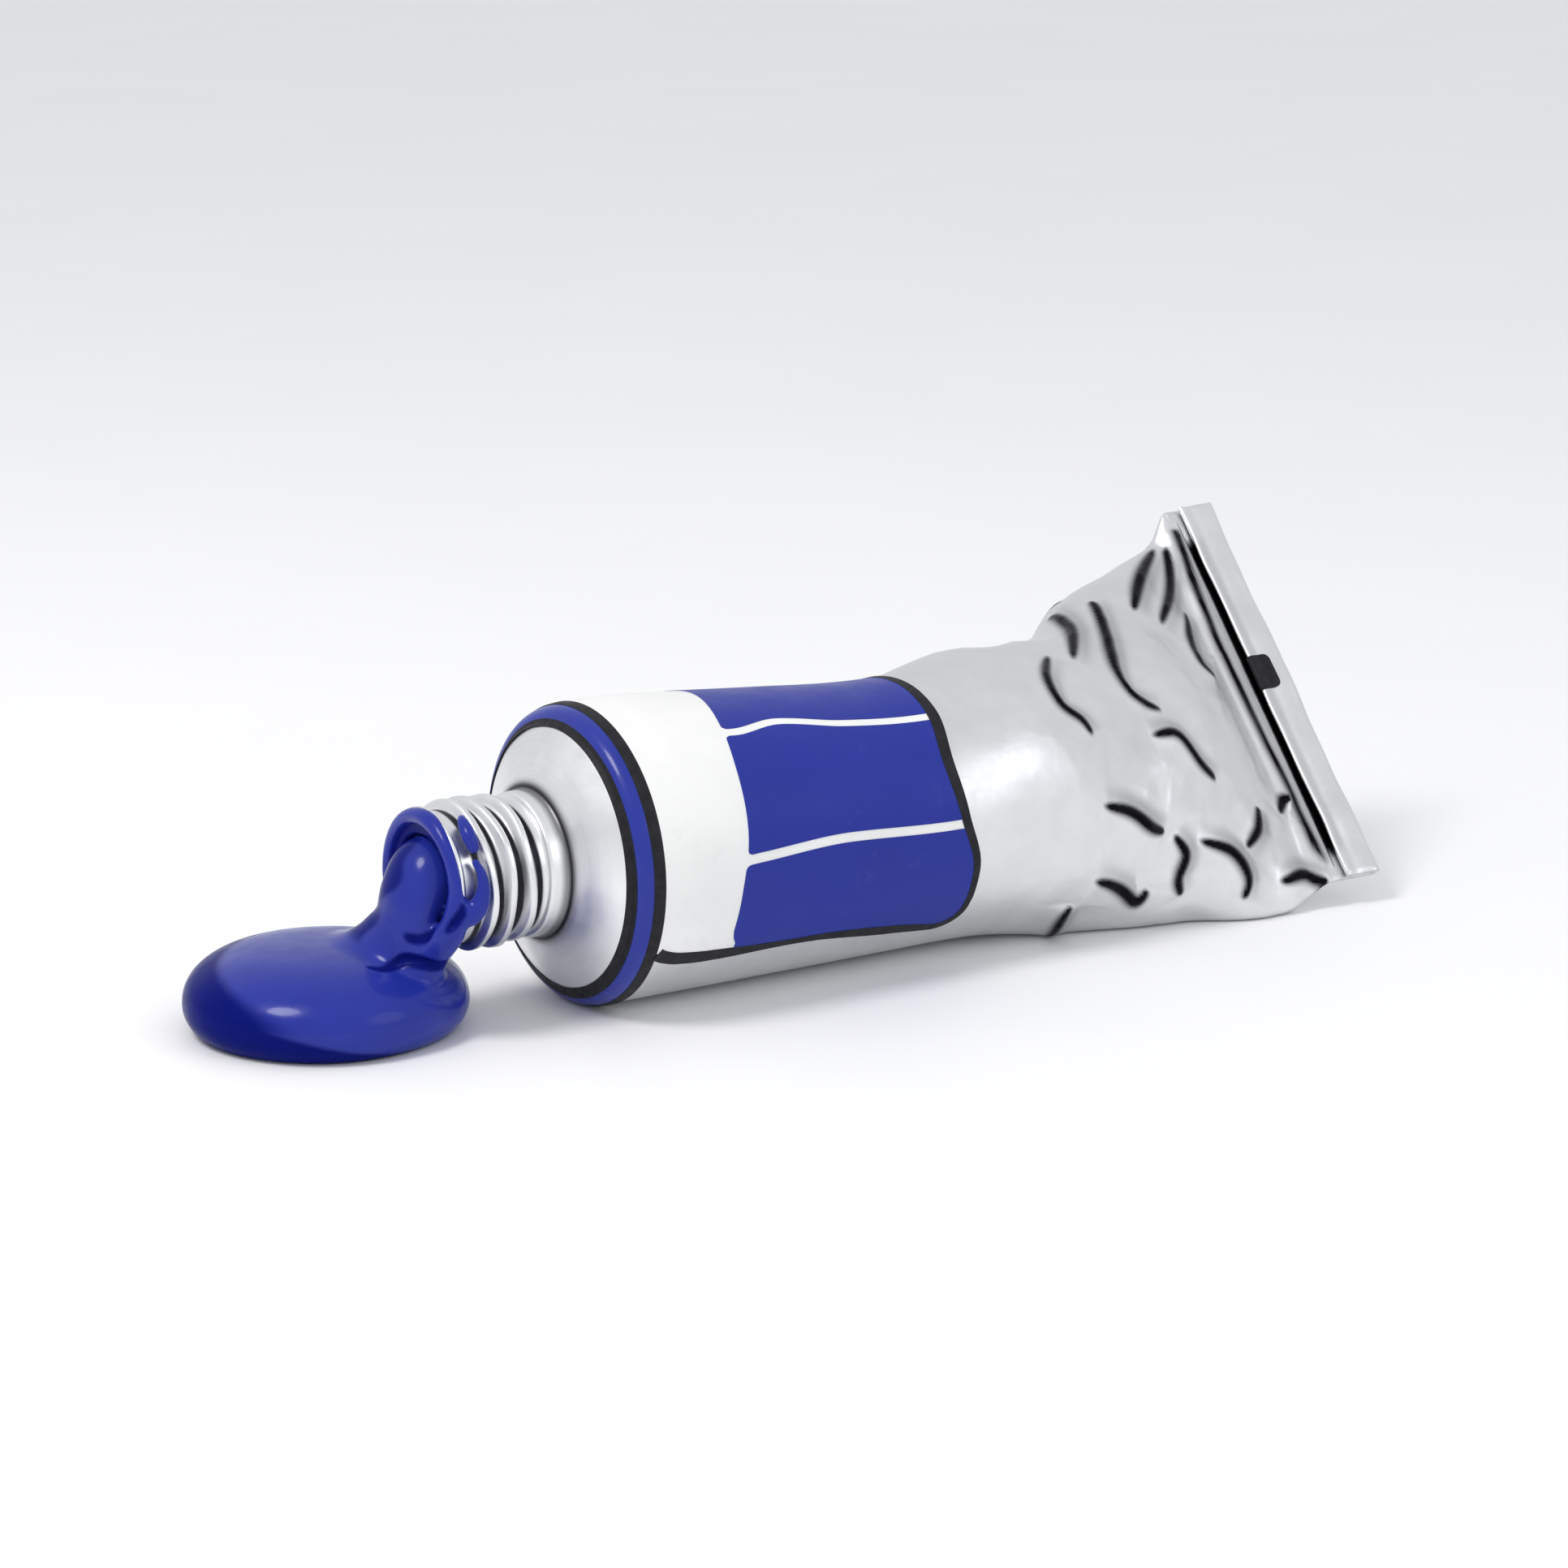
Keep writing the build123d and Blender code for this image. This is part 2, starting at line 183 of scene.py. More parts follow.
PAINT_FOLDS = [          # creases in it: centre and radius along each, and how soft its edges are
    ([(-22.6, -1.7, 7.9, 0.05), (-21.7, -2.4, 7.8, 0.3), (-20.4, -2.6, 8.0, 0.46), (-19.5, -3.3, 8.4, 0.52),
      (-18.4, -4.4, 8.2, 0.52), (-17.0, -5.0, 7.8, 0.5), (-15.9, -4.9, 7.7, 0.5)], 0.25),
    ([(-20.0, -3.0, 11.2, 0.04), (-19.3, -3.5, 10.6, 0.32), (-18.5, -4.2, 10.5, 0.36),
      (-17.7, -4.7, 10.9, 0.3), (-17.1, -5.1, 11.6, 0.04)], 0.15),
    ([(-17.1, -7.0, 11.7, 0.05), (-16.5, -7.2, 12.3, 0.3), (-15.8, -7.5, 13.3, 0.3),
      (-15.5, -7.6, 14.2, 0.04)], 0.15),
]

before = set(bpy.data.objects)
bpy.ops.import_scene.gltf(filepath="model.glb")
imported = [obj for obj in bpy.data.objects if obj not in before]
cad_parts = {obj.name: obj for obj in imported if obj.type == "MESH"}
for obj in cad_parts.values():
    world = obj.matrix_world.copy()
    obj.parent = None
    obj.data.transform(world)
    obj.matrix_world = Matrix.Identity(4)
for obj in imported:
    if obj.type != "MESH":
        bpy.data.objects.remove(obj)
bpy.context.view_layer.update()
head_low, head_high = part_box("tube_head")
FACE_X = head_high.x - SKIRT_END_X * MM
AXIS_Y = (head_low.y + head_high.y) / 2


def to_row(points):
    """Points in the tube's frame, in millimetres, as row frame points in metres."""
    return np.asarray(points, float) * MM + np.array([FACE_X, AXIS_Y, 0.0])


def smoothstep(low, high, value):
    t = np.clip((value - low) / (high - low), 0.0, 1.0)
    return t * t * (3 - 2 * t)


def follow(table, at):
    """The second column of the table at these values of the first, on a smooth curve."""
    xs, ys = np.array(table, float).T
    at = np.clip(at, xs[0], xs[-1])
    i = np.clip(np.searchsorted(xs, at, side="right") - 1, 0, len(xs) - 2)
    rise = np.diff(ys) / np.diff(xs)
    slope = np.zeros(len(xs))
    both = rise[:-1] * rise[1:] > 0
    slope[1:-1][both] = (2 * rise[:-1] * rise[1:] / np.where(both, rise[:-1] + rise[1:], 1))[both]
    step = xs[i + 1] - xs[i]
    t = (at - xs[i]) / step
    return (ys[i] * (1 + 2 * t) * (1 - t) ** 2 + step * slope[i] * t * (1 - t) ** 2
            + ys[i + 1] * t * t * (3 - 2 * t) - step * slope[i + 1] * t * t * (1 - t))


def section_at(x):
    return [follow([(row[0], row[k]) for row in SECTIONS], x) for k in (1, 2, 3, 4)]


def base_point(x, angle, grow=0.0):
    """Points of the undented tube's surface, and the directions out of it."""
    width, thick, height, square = section_at(x)
    c, s = np.cos(angle), np.sin(angle)
    power = 2 / square
    u = (width + grow) * np.sign(c) * np.abs(c) ** power
    v = (thick + grow) * np.sign(s) * np.abs(s) ** power
    points = u[..., None] * ACROSS + v[..., None] * OUT
    points[..., 0] = x
    points[..., 2] += height
    normal = (c / width)[..., None] * ACROSS + (s / thick)[..., None] * OUT
    return points, normal / np.linalg.norm(normal, axis=-1, keepdims=True)


def noise_at(points, size, seed):
    """Smooth noise from -1 to 1 with features of about this size."""
    shift = Vector((seed * 17.3, seed * 5.1, seed * 9.7))
    flat = (np.asarray(points).reshape(-1, 3) / size).tolist()
    values = [noise.noise(Vector(p) + shift) for p in flat]
    return np.array(values).reshape(np.asarray(points).shape[:-1])


def smooth_path(points, pieces=6):
    """A curve through the points, cut into short pieces."""
    p = np.array(points, float)
    p = np.vstack([2 * p[0] - p[1], p, 2 * p[-1] - p[-2]])
    out = []
    for i in range(1, len(p) - 2):
        for t in np.arange(pieces) / pieces:
            out.append(0.5 * (2 * p[i] + (p[i + 1] - p[i - 1]) * t
                              + (2 * p[i - 1] - 5 * p[i] + 4 * p[i + 1] - p[i + 2]) * t * t
                              + (3 * p[i] - p[i - 1] - 3 * p[i + 1] + p[i + 2]) * t ** 3))
    out.append(p[-2])
    return np.array(out)


def beside_path(points, path, reach):
    """Which points lie within reach of a line, how far to its side, and where along it, from 0 to 1."""
    line, out = base_point(path[:, 0], np.radians(path[:, 1]))
    near = np.all((points > line.min(0) - reach) & (points < line.max(0) + reach), axis=1)
    near = np.flatnonzero(near)
    p = points[near]
    best = np.full(len(p), 1e9)
    side = np.zeros(len(p))
    along = np.zeros(len(p))
    for k in range(len(line) - 1):
        ab = line[k + 1] - line[k]
        t = np.clip((p - line[k]) @ ab / (ab @ ab), 0, 1)
        away = p - (line[k] + t[:, None] * ab)
        distance = np.linalg.norm(away, axis=1)
        closer = distance < best
        sign = np.sign(np.cross(ab, away) @ out[k])
        best[closer] = distance[closer]
        side[closer] = (distance * sign)[closer]
        along[closer] = ((k + t) / (len(line) - 1))[closer]
    keep = best < reach
    return near[keep], side[keep], along[keep]


def hidden_creases():
    """Seeded creases for the side away from the viewer, like the near side's."""
    rng = random.Random(HIDDEN_SEED)
    made = []
    while len(made) < HIDDEN_CREASES:
        x, angle = rng.uniform(55, 81), rng.uniform(205, 345)
        long, turn = rng.uniform(4, 8), rng.choice([-1, 1]) * rng.uniform(0.3, 1.2)
        heading = rng.uniform(0.9, 2.2)
        if any(abs(x - q[1][1][0]) < 5 and abs(angle - q[1][1][1]) < 22 for q in made):
            continue
        points = [(x, angle)]
        for _ in range(3):
            x += long / 3 * math.cos(heading)
            angle += long / 3 * math.sin(heading) * 4.2
            heading += turn / 3
            points.append((min(x, 84.5), angle))
        made.append((rng.uniform(0.4, 0.65), points))
    return made


def slack(x, degrees, points):
    """How far the handled foil stands out of the undented tube, apart from its creases."""
    used = smoothstep(42, 60, x)
    loose = used * (1 - 0.75 * smoothstep(80.5, 84, x))
    high = 0.14 * smoothstep(7, 14, x) * noise_at(points, 13, 1)
    high += loose * 0.5 * noise_at(points, 8.5, 2)
    ridges = 0.5 - 2 * np.abs(noise_at(points * [1.0, 0.7, 0.7], 6.5, 3))
    facets = 0.5 - 2 * np.abs(noise_at(points * [0.8, 1.1, 1.1], 3.6, 4))
    high += loose * (0.24 * ridges + 0.09 * facets)
    high += 0.02 * smoothstep(40, 52, x) * noise_at(points, 1.3, 5)
    from_top = (degrees + 180) % 360 - 180
    steps = 0.5 * np.sin((x - 57.0) * 0.62) + 0.35 * np.sin((x - 50) * 0.37) + 0.4 * np.sin((x - 61) * 0.23)
    high += used * 0.8 * steps * np.exp(-((from_top - 4) / 26) ** 2) * (1 - smoothstep(80, 84, x))
    for depth, middle, length, low_angle, spread in SAGS:
        high += depth * np.exp(-((x - middle) / length) ** 2 - ((degrees - low_angle) / spread) ** 2)
    return high


def crease(side, along):
    """A crease's shape across and along its line, for a step of 1 mm, and its painted shade: a near-black
    line on it and grey beside it.
    """
    taper = np.sqrt(np.clip(np.sin(np.pi * along), 0, 1))
    rise = np.exp(np.minimum(side, 0) / 1.6)
    fall = 0.4 * smoothstep(0, 0.3, side) + 1.05 * smoothstep(0.1, 2.5, side)
    fall -= 0.45 * smoothstep(2.5, 6.5, side)
    # painted shade: a near-black line on the crease, and a grey band beside it
    painted_shade = 1.45 * np.exp(-((side + 0.06) / (0.18 + 0.66 * taper)) ** 2) * np.clip(taper * 2, 0, 1) - 0.12
    shade = CREASE_SHADE * taper * np.exp(-((side - 1.1) / 0.85) ** 2)
    return taper * (rise - fall), np.maximum(painted_shade, shade)


def fold(side, along):
    """The rolled edge, and the painted shade where the blade meets the crimp, a dark line with a grey band
    past it, in the same way.
    """
    taper = np.clip(np.sin(np.pi * along) * 2.2, 0, 1)
    roll = 0.42 * np.exp(np.minimum(side + 0.1, 0) / 0.8) * (1 - smoothstep(-0.1, 0.3, side))
    # painted shade: a dark line on the fold, and a grey band on the crimp's side of it
    painted_shade = np.maximum(1.5 * np.exp(-((side - 0.05) / 0.70) ** 2) - 0.1, 0.32 * smoothstep(0.0, 0.6, side))
    return taper * (roll - 0.12 * smoothstep(0.0, 0.4, side)), taper * painted_shade


def relief(x, angle, points):
    """How far the foil's surface stands out of the undented tube, and the painted shade along its creases.
    """
    shape = x.shape
    x, angle, points = x.ravel(), angle.ravel(), points.reshape(-1, 3)
    high = slack(x, np.degrees(angle) % 360, points)
    dark = np.zeros(len(x))
    lines = [(height, line, crease, CREASE_REACH) for height, line in CREASES + hidden_creases()]
    for height, line, form, reach in [*lines, (1.0, FOLD_LINE, fold, FOLD_REACH)]:
        found, side, along = beside_path(points, smooth_path(line), reach)
        step, painted_shade = form(side, along)
        high[found] += height * step
        dark[found] = np.maximum(dark[found], painted_shade)
    width, thick = section_at(x)[:2]
    room = 0.8 * thick * (np.abs(np.sin(angle)) + thick / width * np.abs(np.cos(angle)))
    high *= 1 - smoothstep(85.9, 86.5, x)
    high = np.maximum(high, -np.minimum(room, DEEPEST_DENT))
    return high.reshape(shape), np.minimum(dark, 1).reshape(shape)


def rest_on_table(z):
    """Heights kept above the table, with a soft bend where the foil comes down to it."""
    above = z - TABLE_GAP
    near = above < NEAR_TABLE
    return (TABLE_GAP + 0.5 * (above + np.sqrt(above ** 2 + TABLE_BEND ** 2 * near))
            - TABLE_BEND ** 2 / (4 * np.maximum(above, 1.0)) * near)


def foil_point(x, angle, grow=0.0):
    """Points of the dented tube's surface, and the painted shade on them."""
    x, angle = np.broadcast_arrays(np.asarray(x, float), np.asarray(angle, float))
    points, out = base_point(x, angle)
    high, dark = relief(x, angle, points)
    points = points + out * (high + grow)[..., None]
    points[..., 2] = rest_on_table(points[..., 2])
    return points, dark


def even_angles(x):
    """Angles round the section at x that are the same distance apart along it."""
    dense = np.linspace(0, 2 * np.pi, 2881)
    p, _ = base_point(np.full(len(dense), x), dense)
    length = np.concatenate([[0], np.cumsum(np.linalg.norm(np.diff(p, axis=0), axis=1))])
    return np.interp(np.arange(AROUND) / AROUND * length[-1], length, dense)


def show(obj):
    bpy.context.scene.collection.objects.link(obj)


def grid_faces(rows, columns, wrap_columns=False, wrap_rows=False):
    r, c = np.meshgrid(np.arange(rows if wrap_rows else rows - 1),
                       np.arange(columns if wrap_columns else columns - 1), indexing="ij")
    r2, c2 = (r + 1) % rows, (c + 1) % columns
    quads = [r * columns + c, r * columns + c2, r2 * columns + c2, r2 * columns + c]
    return np.stack(quads, -1).reshape(-1, 4)


def add_mesh(name, points, faces, material, sharp=None, attributes=None):
    """A smooth mesh object in the row frame from points in the tube's frame. faces is a list of arrays."""
    mesh = bpy.data.meshes.new(name)
    listed = [f for block in faces for f in np.asarray(block).tolist()]
    mesh.from_pydata(to_row(points).reshape(-1, 3).tolist(), [], listed)
    mesh.validate()
    obj = bpy.data.objects.new(name, mesh)
    show(obj)
    bm = bmesh.new()
    bm.from_mesh(mesh)
    bmesh.ops.recalc_face_normals(bm, faces=bm.faces)
    bm.to_mesh(mesh)
    bm.free()
    mesh.polygons.foreach_set("use_smooth", [True] * len(mesh.polygons))
    if sharp is not None:
        mesh.set_sharp_from_angle(angle=math.radians(sharp))
    for key, values in (attributes or {}).items():
        layer = mesh.attributes.new(key, "FLOAT", "POINT")
        layer.data.foreach_set("value", np.ravel(values).astype(np.float32))
    mesh.materials.append(material)
    return obj


def closed_sheet(name, upper, lower, material):
    """A thin closed body between two grids of points."""
    rows, columns = upper.shape[:2]
    count = rows * columns
    index = np.arange(count).reshape(rows, columns)
    rim = np.concatenate([index[0, :], index[1:, -1], index[-1, -2::-1], index[-2:0:-1, 0]])
    after = np.roll(rim, -1)
    walls = np.stack([rim, after, after + count, rim + count], -1)
    faces = grid_faces(rows, columns)
    points = np.concatenate([upper, lower])
    return add_mesh(name, points, [faces, faces[:, ::-1] + count, walls], material, sharp=50)


def place(obj, body, slot, *nodes):
    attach(obj, body)
    if nodes:
        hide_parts(*nodes)
    return obj


# ---------------------------------------------------------------- materials

class Nodes:
    """A material's node tree, with short ways to add to it."""

    def __init__(self, name):
        self.material = bpy.data.materials.new(name)
        self.material.use_nodes = True
        self.tree = self.material.node_tree
        self.shader = next(n for n in self.tree.nodes if n.type == "BSDF_PRINCIPLED")
        self.place = self.add("ShaderNodeTexCoord").outputs["Object"]

    def add(self, kind, inputs=None, **settings):
        """A new node. Its inputs, by name or number, are each a value or a socket to link."""
        node = self.tree.nodes.new(kind)
        for key, value in settings.items():
            setattr(node, key, value)
        self.fill(node, inputs or {})
        return node

    def fill(self, node, inputs):
        for key, value in inputs.items():
            if isinstance(value, bpy.types.NodeSocket):
                self.tree.links.new(value, node.inputs[key])
            else:
                node.inputs[key].default_value = value

    def noise(self, size_mm, detail=3.0, roughness=0.5, stretch=(1, 1, 1)):
        """Noise from about 0.25 to 0.75 with features of this size."""
        scale = [s / (size_mm * MM) for s in stretch]
        place = self.add("ShaderNodeMapping", {"Vector": self.place, "Scale": scale}).outputs["Vector"]
        inputs = {"Vector": place, "Scale": 1.0, "Detail": detail, "Roughness": roughness}
        return self.add("ShaderNodeTexNoise", inputs).outputs["Fac"]

    def span(self, source, low, high, from_low=0.3, from_high=0.7):
        inputs = {"From Min": from_low, "From Max": from_high, "To Min": low, "To Max": high}
        return self.add("ShaderNodeMapRange", {"Value": source, **inputs}).outputs["Result"]

    def mix(self, share, *colours):
        a, b = [(*c, 1.0) if isinstance(c, tuple) else c for c in colours]
        return self.add("ShaderNodeMix", {0: share, 6: a, 7: b}, data_type="RGBA").outputs[2]

    def mottle(self, size_mm, detail, a, b):
        return self.mix(self.span(self.noise(size_mm, detail), 0.0, 1.0), a, b)

    def math(self, operation, a, b=0.0):
        return self.add("ShaderNodeMath", {0: a, 1: b}, operation=operation).outputs[0]

    def attribute(self, name):
        return self.add("ShaderNodeAttribute", attribute_name=name).outputs["Fac"]

    def bump(self, source, depth_mm, under=None):
        inputs = {"Strength": 1.0, "Distance": depth_mm * MM, "Height": source}
        if under is not None:
            inputs["Normal"] = under
        return self.add("ShaderNodeBump", inputs).outputs["Normal"]

    def finish(self, tone, rough, normal, **others):
        """The material, once the shader has its inputs."""
        self.fill(self.shader, {"Base Color": tone, "Roughness": rough, "Normal": normal})
        self.fill(self.shader, {key.replace("_", " "): value for key, value in others.items()})
        return self.material


def foil_metal():
    n = Nodes("satin_foil")
    tone = n.mottle(11, 4, (0.80, 0.805, 0.81), (0.73, 0.735, 0.745))
    tone = n.mix(n.span(n.noise(2.2, 5), 0.0, 0.3), tone, (0.66, 0.67, 0.69))
    # painted shade from the crease attribute: dark lines and grey bands on the creases, the fold line and
    # the crimp
    tone = n.mix(n.attribute("crease"), tone, (0.006, 0.006, 0.008))
    rough = n.math("ADD", n.span(n.noise(6, 4), 0.34, 0.47), n.span(n.noise(0.8, 3), -0.03, 0.04))
    rolled = n.bump(n.noise(0.22, 2, stretch=(0.03, 1, 1)), 0.0035)
    return n.finish(tone, rough, n.bump(n.noise(1.6, 4, 0.6), 0.02, rolled), Metallic=1.0)


def turned_metal():
    """The head: cast and turned, so its tool marks run round the nozzle."""
    n = Nodes("turned_head")
    x, y, z = n.add("ShaderNodeSeparateXYZ", {0: n.place}).outputs
    y = n.math("SUBTRACT", y, AXIS_Y)
    z = n.math("SUBTRACT", z, AXIS_Z * MM)
    radius = n.math("SQRT", n.math("ADD", n.math("MULTIPLY", y, y), n.math("MULTIPLY", z, z)))
    rings = n.add("ShaderNodeCombineXYZ", {"X": radius, "Y": x}).outputs[0]
    inputs = {"Vector": rings, "Scale": 1 / (0.16 * MM), "Detail": 2.0}
    marks = n.add("ShaderNodeTexNoise", inputs).outputs["Fac"]
    tone = n.mottle(5, 4, (0.90, 0.905, 0.91), (0.82, 0.825, 0.84))
    tone = n.mix(n.span(marks, 0.0, 0.25), tone, (0.6, 0.61, 0.63))
    # painted shade from the crease attribute: the thread's root and the collar's corner near black
    tone = n.mix(n.attribute("crease"), tone, (0.02, 0.02, 0.025))
    turned = n.bump(n.noise(0.9, 4, 0.6), 0.012, n.bump(marks, 0.006))
    return n.finish(tone, n.span(n.noise(3, 4), 0.30, 0.44), turned, Metallic=1.0)


def enamel():
    n = Nodes("band_enamel")
    tone = n.mottle(7, 3, (0.019, 0.033, 0.305), (0.015, 0.027, 0.265))
    return n.finish(tone, n.span(n.noise(1.4, 4), 0.26, 0.36), n.bump(n.noise(1.6, 2), 0.008),
                    Coat_Weight=0.25, Coat_Roughness=0.10, Specular_IOR_Level=0.18)


def print_film(name, colour, worn, rough):
    """Ink or varnish on thin film: fine grain, a slight mottle, and rubbed spots."""
    n = Nodes(name)
    tone = n.mottle(9, 4, colour, tuple(0.93 * c for c in colour))
    rubbed = n.math("MULTIPLY", n.span(n.noise(2.6, 5, 0.65), 0.0, 1.0, 0.62, 0.74), 0.35)
    grain = n.bump(n.noise(0.28, 3, 0.6), 0.006)
    return n.finish(n.mix(rubbed, tone, worn), n.span(n.noise(3.5, 4), rough, rough + 0.12),
                    n.bump(n.noise(5.0, 2), 0.05, grain),
                    Coat_Weight=0.03, Coat_Roughness=0.22, Specular_IOR_Level=0.16)


def wet_paint():
    n = Nodes("oil_paint")
    # painted shade from paint_shade(): darker blue, with less coat and less specular there
    shade_on_paint = n.attribute("shade_on_paint")
    tone = n.mottle(5, 3, (0.017, 0.031, 0.305), (0.013, 0.025, 0.265))
    tone = n.mix(shade_on_paint, tone, (0.003, 0.007, 0.140))
    pulled = n.bump(n.noise(0.6, 2), 0.004)
    return n.finish(tone, n.span(n.noise(2.5, 4), 0.18, 0.30), n.bump(n.noise(4.5, 2), 0.10, pulled),
                    Coat_Roughness=0.06, IOR=1.45, Coat_Weight=n.span(shade_on_paint, 0.15, 0.0, 0.0, 1.0),
                    Specular_IOR_Level=n.span(shade_on_paint, 0.20, 0.03, 0.0, 1.0))


def flat_ink(name, colour):
    n = Nodes(name)
    tone = n.mottle(1.1, 4, colour, tuple(2.2 * c for c in colour))
    return n.finish(tone, n.span(n.noise(0.8, 3), 0.45, 0.6), n.bump(n.noise(0.3, 3), 0.006),
                    Specular_IOR_Level=0.2)


def lining(name, colour, rough):
    n = Nodes(name)
    tone = n.mottle(4, 4, colour, tuple(0.8 * c for c in colour))
    return n.finish(tone, n.span(n.noise(2, 3), rough, rough + 0.15), n.bump(n.noise(0.6, 3), 0.02))


FOIL = foil_metal()
HEAD = turned_metal()
ENAMEL = enamel()
WHITE = print_film("label_white_film", (0.86, 0.86, 0.85), (0.70, 0.70, 0.70), 0.30)
BLUE = print_film("label_blue_ink", (0.019, 0.033, 0.300), (0.05, 0.07, 0.35), 0.30)
INK = flat_ink("black_ink", (0.008, 0.008, 0.010))
PAINT = wet_paint()
LACQUER = lining("gold_lacquer", (0.55, 0.36, 0.10), 0.25)
LATEX = lining("grey_latex", (0.42, 0.41, 0.38), 0.5)


# ---------------------------------------------------------------- sleeve and what is in it

def nested_rows(xs, inset):
    """Rings of the undented tube's surface, this far inside the sleeve's inner wall."""
    rings = []
    for x in xs:
        angles = even_angles(x)
        grow = -follow(WALL, x) - inset
        rings.append(base_point(np.full(AROUND, float(x)), angles, grow)[0])
    return rings


def make_sleeve():
    start_x = SECTIONS[0][0]
    xs = np.concatenate([np.linspace(start_x, CREASED_FROM_X, 32)[:-1],
                         np.arange(CREASED_FROM_X, SLEEVE_END_X + 0.01, ROW_STEP)])
    angles = np.array([even_angles(x) for x in xs])
    points, dark = foil_point(xs[:, None], angles)
    inner_x = [86.6, 85.6, 84.4, 83, 81, 78, 75, 71, 67, 63, 59, 55, 51, 47, 43, 39, 30, 20, 10]
    inner = nested_rows([SLEEVE_END_X, *inner_x, start_x], 0.0)
    rings = np.concatenate([points, inner])
    dark = np.concatenate([dark.ravel(), np.zeros(len(inner) * AROUND)])
    faces = grid_faces(len(rings), AROUND, True, True)
    # the crease attribute holds painted shade along the creases and the fold line
    obj = add_mesh("sleeve_skin", rings, [faces], FOIL, sharp=60, attributes={"crease": dark})
    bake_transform(obj)
    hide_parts("tube_sleeve")


def capped(name, rings, material, slot, *nodes):
    """A closed body through the rings, its two ends closed by fans."""
    count = len(rings[0])
    points = np.concatenate([np.concatenate(rings), [rings[0].mean(0)], [rings[-1].mean(0)]])
    first, last = len(points) - 2, len(points) - 1
    k = np.arange(count)
    start = np.stack([(k + 1) % count, k, np.full(count, first)], -1)
    base = (len(rings) - 1) * count
    end = np.stack([base + k, base + (k + 1) % count, np.full(count, last)], -1)
    obj = add_mesh(name, points, [grid_faces(len(rings), count, True), start, end], material, sharp=60)
    return place(obj, "tube", slot, *nodes)


def make_contents():
    xs = [SKIRT_END_X, 12, 20, 30, 39, 43, 47, 51, 55, 59, 63, 67, 71, 75, 78, 81, 83.6]
    outside = nested_rows(xs, 0.04)
    inside = nested_rows(xs[::-1], 0.14)
    rings = np.array(outside + inside)
    obj = add_mesh("lacquer_lining", rings, [grid_faces(len(rings), AROUND, True, True)],
                   LACQUER, sharp=60)
    place(obj, "tube", "lacquer", "inner_lacquer")
    fill = []
    turn = even_angles(SECTIONS[0][0]) + BLADE_TILT
    for x, r in ((-14.4, 4.85), (-9, 4.85), (-2.5, 4.85), (0.9, 12.0), (3.3, 13.3), (6.3, 13.3)):
        fill.append(np.stack([np.full(AROUND, x), r * np.cos(turn), AXIS_Z + r * np.sin(turn)], -1))
    capped("paint_inside", fill + nested_rows(xs[1:], 0.2), PAINT, "paint", "paint_fill")
    capped("latex_seal", nested_rows([83.7, 84.4, 85.0, 85.5], 0.05), LATEX, "latex", "end_seal")


# ---------------------------------------------------------------- label

def angle_of(degrees):
    """The section's angle for degrees from straight up towards the near side."""
    return np.radians(degrees + 90) - BLADE_TILT


def sheet_on_tube(name, front, back, start, end, bottom, top, material, corner, rows, columns):
    """A thin closed sheet on the tube. front and back give x by angle, start and end give angle by x."""
    q, p = np.meshgrid(np.linspace(0, 1, rows), np.linspace(0, 1, columns), indexing="ij")
    x = np.full(q.shape, 25.0)
    for _ in range(3):
        lower, upper = follow(start, x), follow(end, x)
        degrees = lower + (upper - lower) * q
        tall = np.radians(upper - lower) * SHEET_R
        inset = np.zeros(q.shape)
        for away, radius in ((q * tall, corner[0]), ((1 - q) * tall, corner[1])):
            gap = np.clip(radius - away, 0, radius)
            inset += radius - np.sqrt(np.maximum(radius ** 2 - gap ** 2, 0))
        left = follow(front, degrees) if isinstance(front, list) else np.full(q.shape, front)
        left = left + np.minimum(inset, 0.7) * corner[2]
        x = left + (follow(back, degrees) - inset - left) * p
    angle = angle_of(degrees)
    return closed_sheet(name, foil_point(x, angle, top)[0], foil_point(x, angle, bottom)[0], material)


def shifted(line, millimetres):
    """A line on the label moved round the tube."""
    return [(x, degrees + math.degrees(millimetres / SHIFT_R)) for x, degrees in line]


def ribbon_on_tube(name, line, width, bottom, top, material):
    """A closed strip that follows a line of x and degrees on the tube."""
    path = np.array(line, float)
    flat = np.stack([path[:, 0], np.radians(path[:, 1]) * LABEL_R], -1)
    run = np.gradient(flat, axis=0)
    run /= np.linalg.norm(run, axis=1, keepdims=True)
    across = np.stack([-run[:, 1], run[:, 0]], -1)
    shares = np.linspace(-0.5, 0.5, 5)
    grid = flat[:, None, :] + across[:, None, :] * shares[None, :, None] * width[:, None, None]
    x, angle = grid[..., 0], angle_of(np.degrees(grid[..., 1] / LABEL_R))
    return closed_sheet(name, foil_point(x, angle, top)[0], foil_point(x, angle, bottom)[0], material)


def label_outline():
    """The label's edge from its front low corner, round the back, to the far side."""
    corner = LABEL_CORNER_R
    low_x = np.linspace(LABEL_FRONT_X + 0.15, LABEL_BACK[-1][1] - corner, 90)
    low = [(x, float(follow(LABEL_LOW_EDGE, x))) for x in low_x]
    turn_x, turn_degrees = low[-1]
    corner_y = math.radians(turn_degrees) * LABEL_R - corner
    bend = []
    for a in np.linspace(0, math.pi / 2, 12)[1:]:
        round_tube = corner_y + corner * math.cos(a)
        bend.append((turn_x + corner * math.sin(a), math.degrees(round_tube / LABEL_R)))
    side_degrees = np.arange(bend[-1][1] - 3, -160, -2.5)
    side = [(float(follow(LABEL_BACK, d)), float(d)) for d in side_degrees]
    return low + bend + side


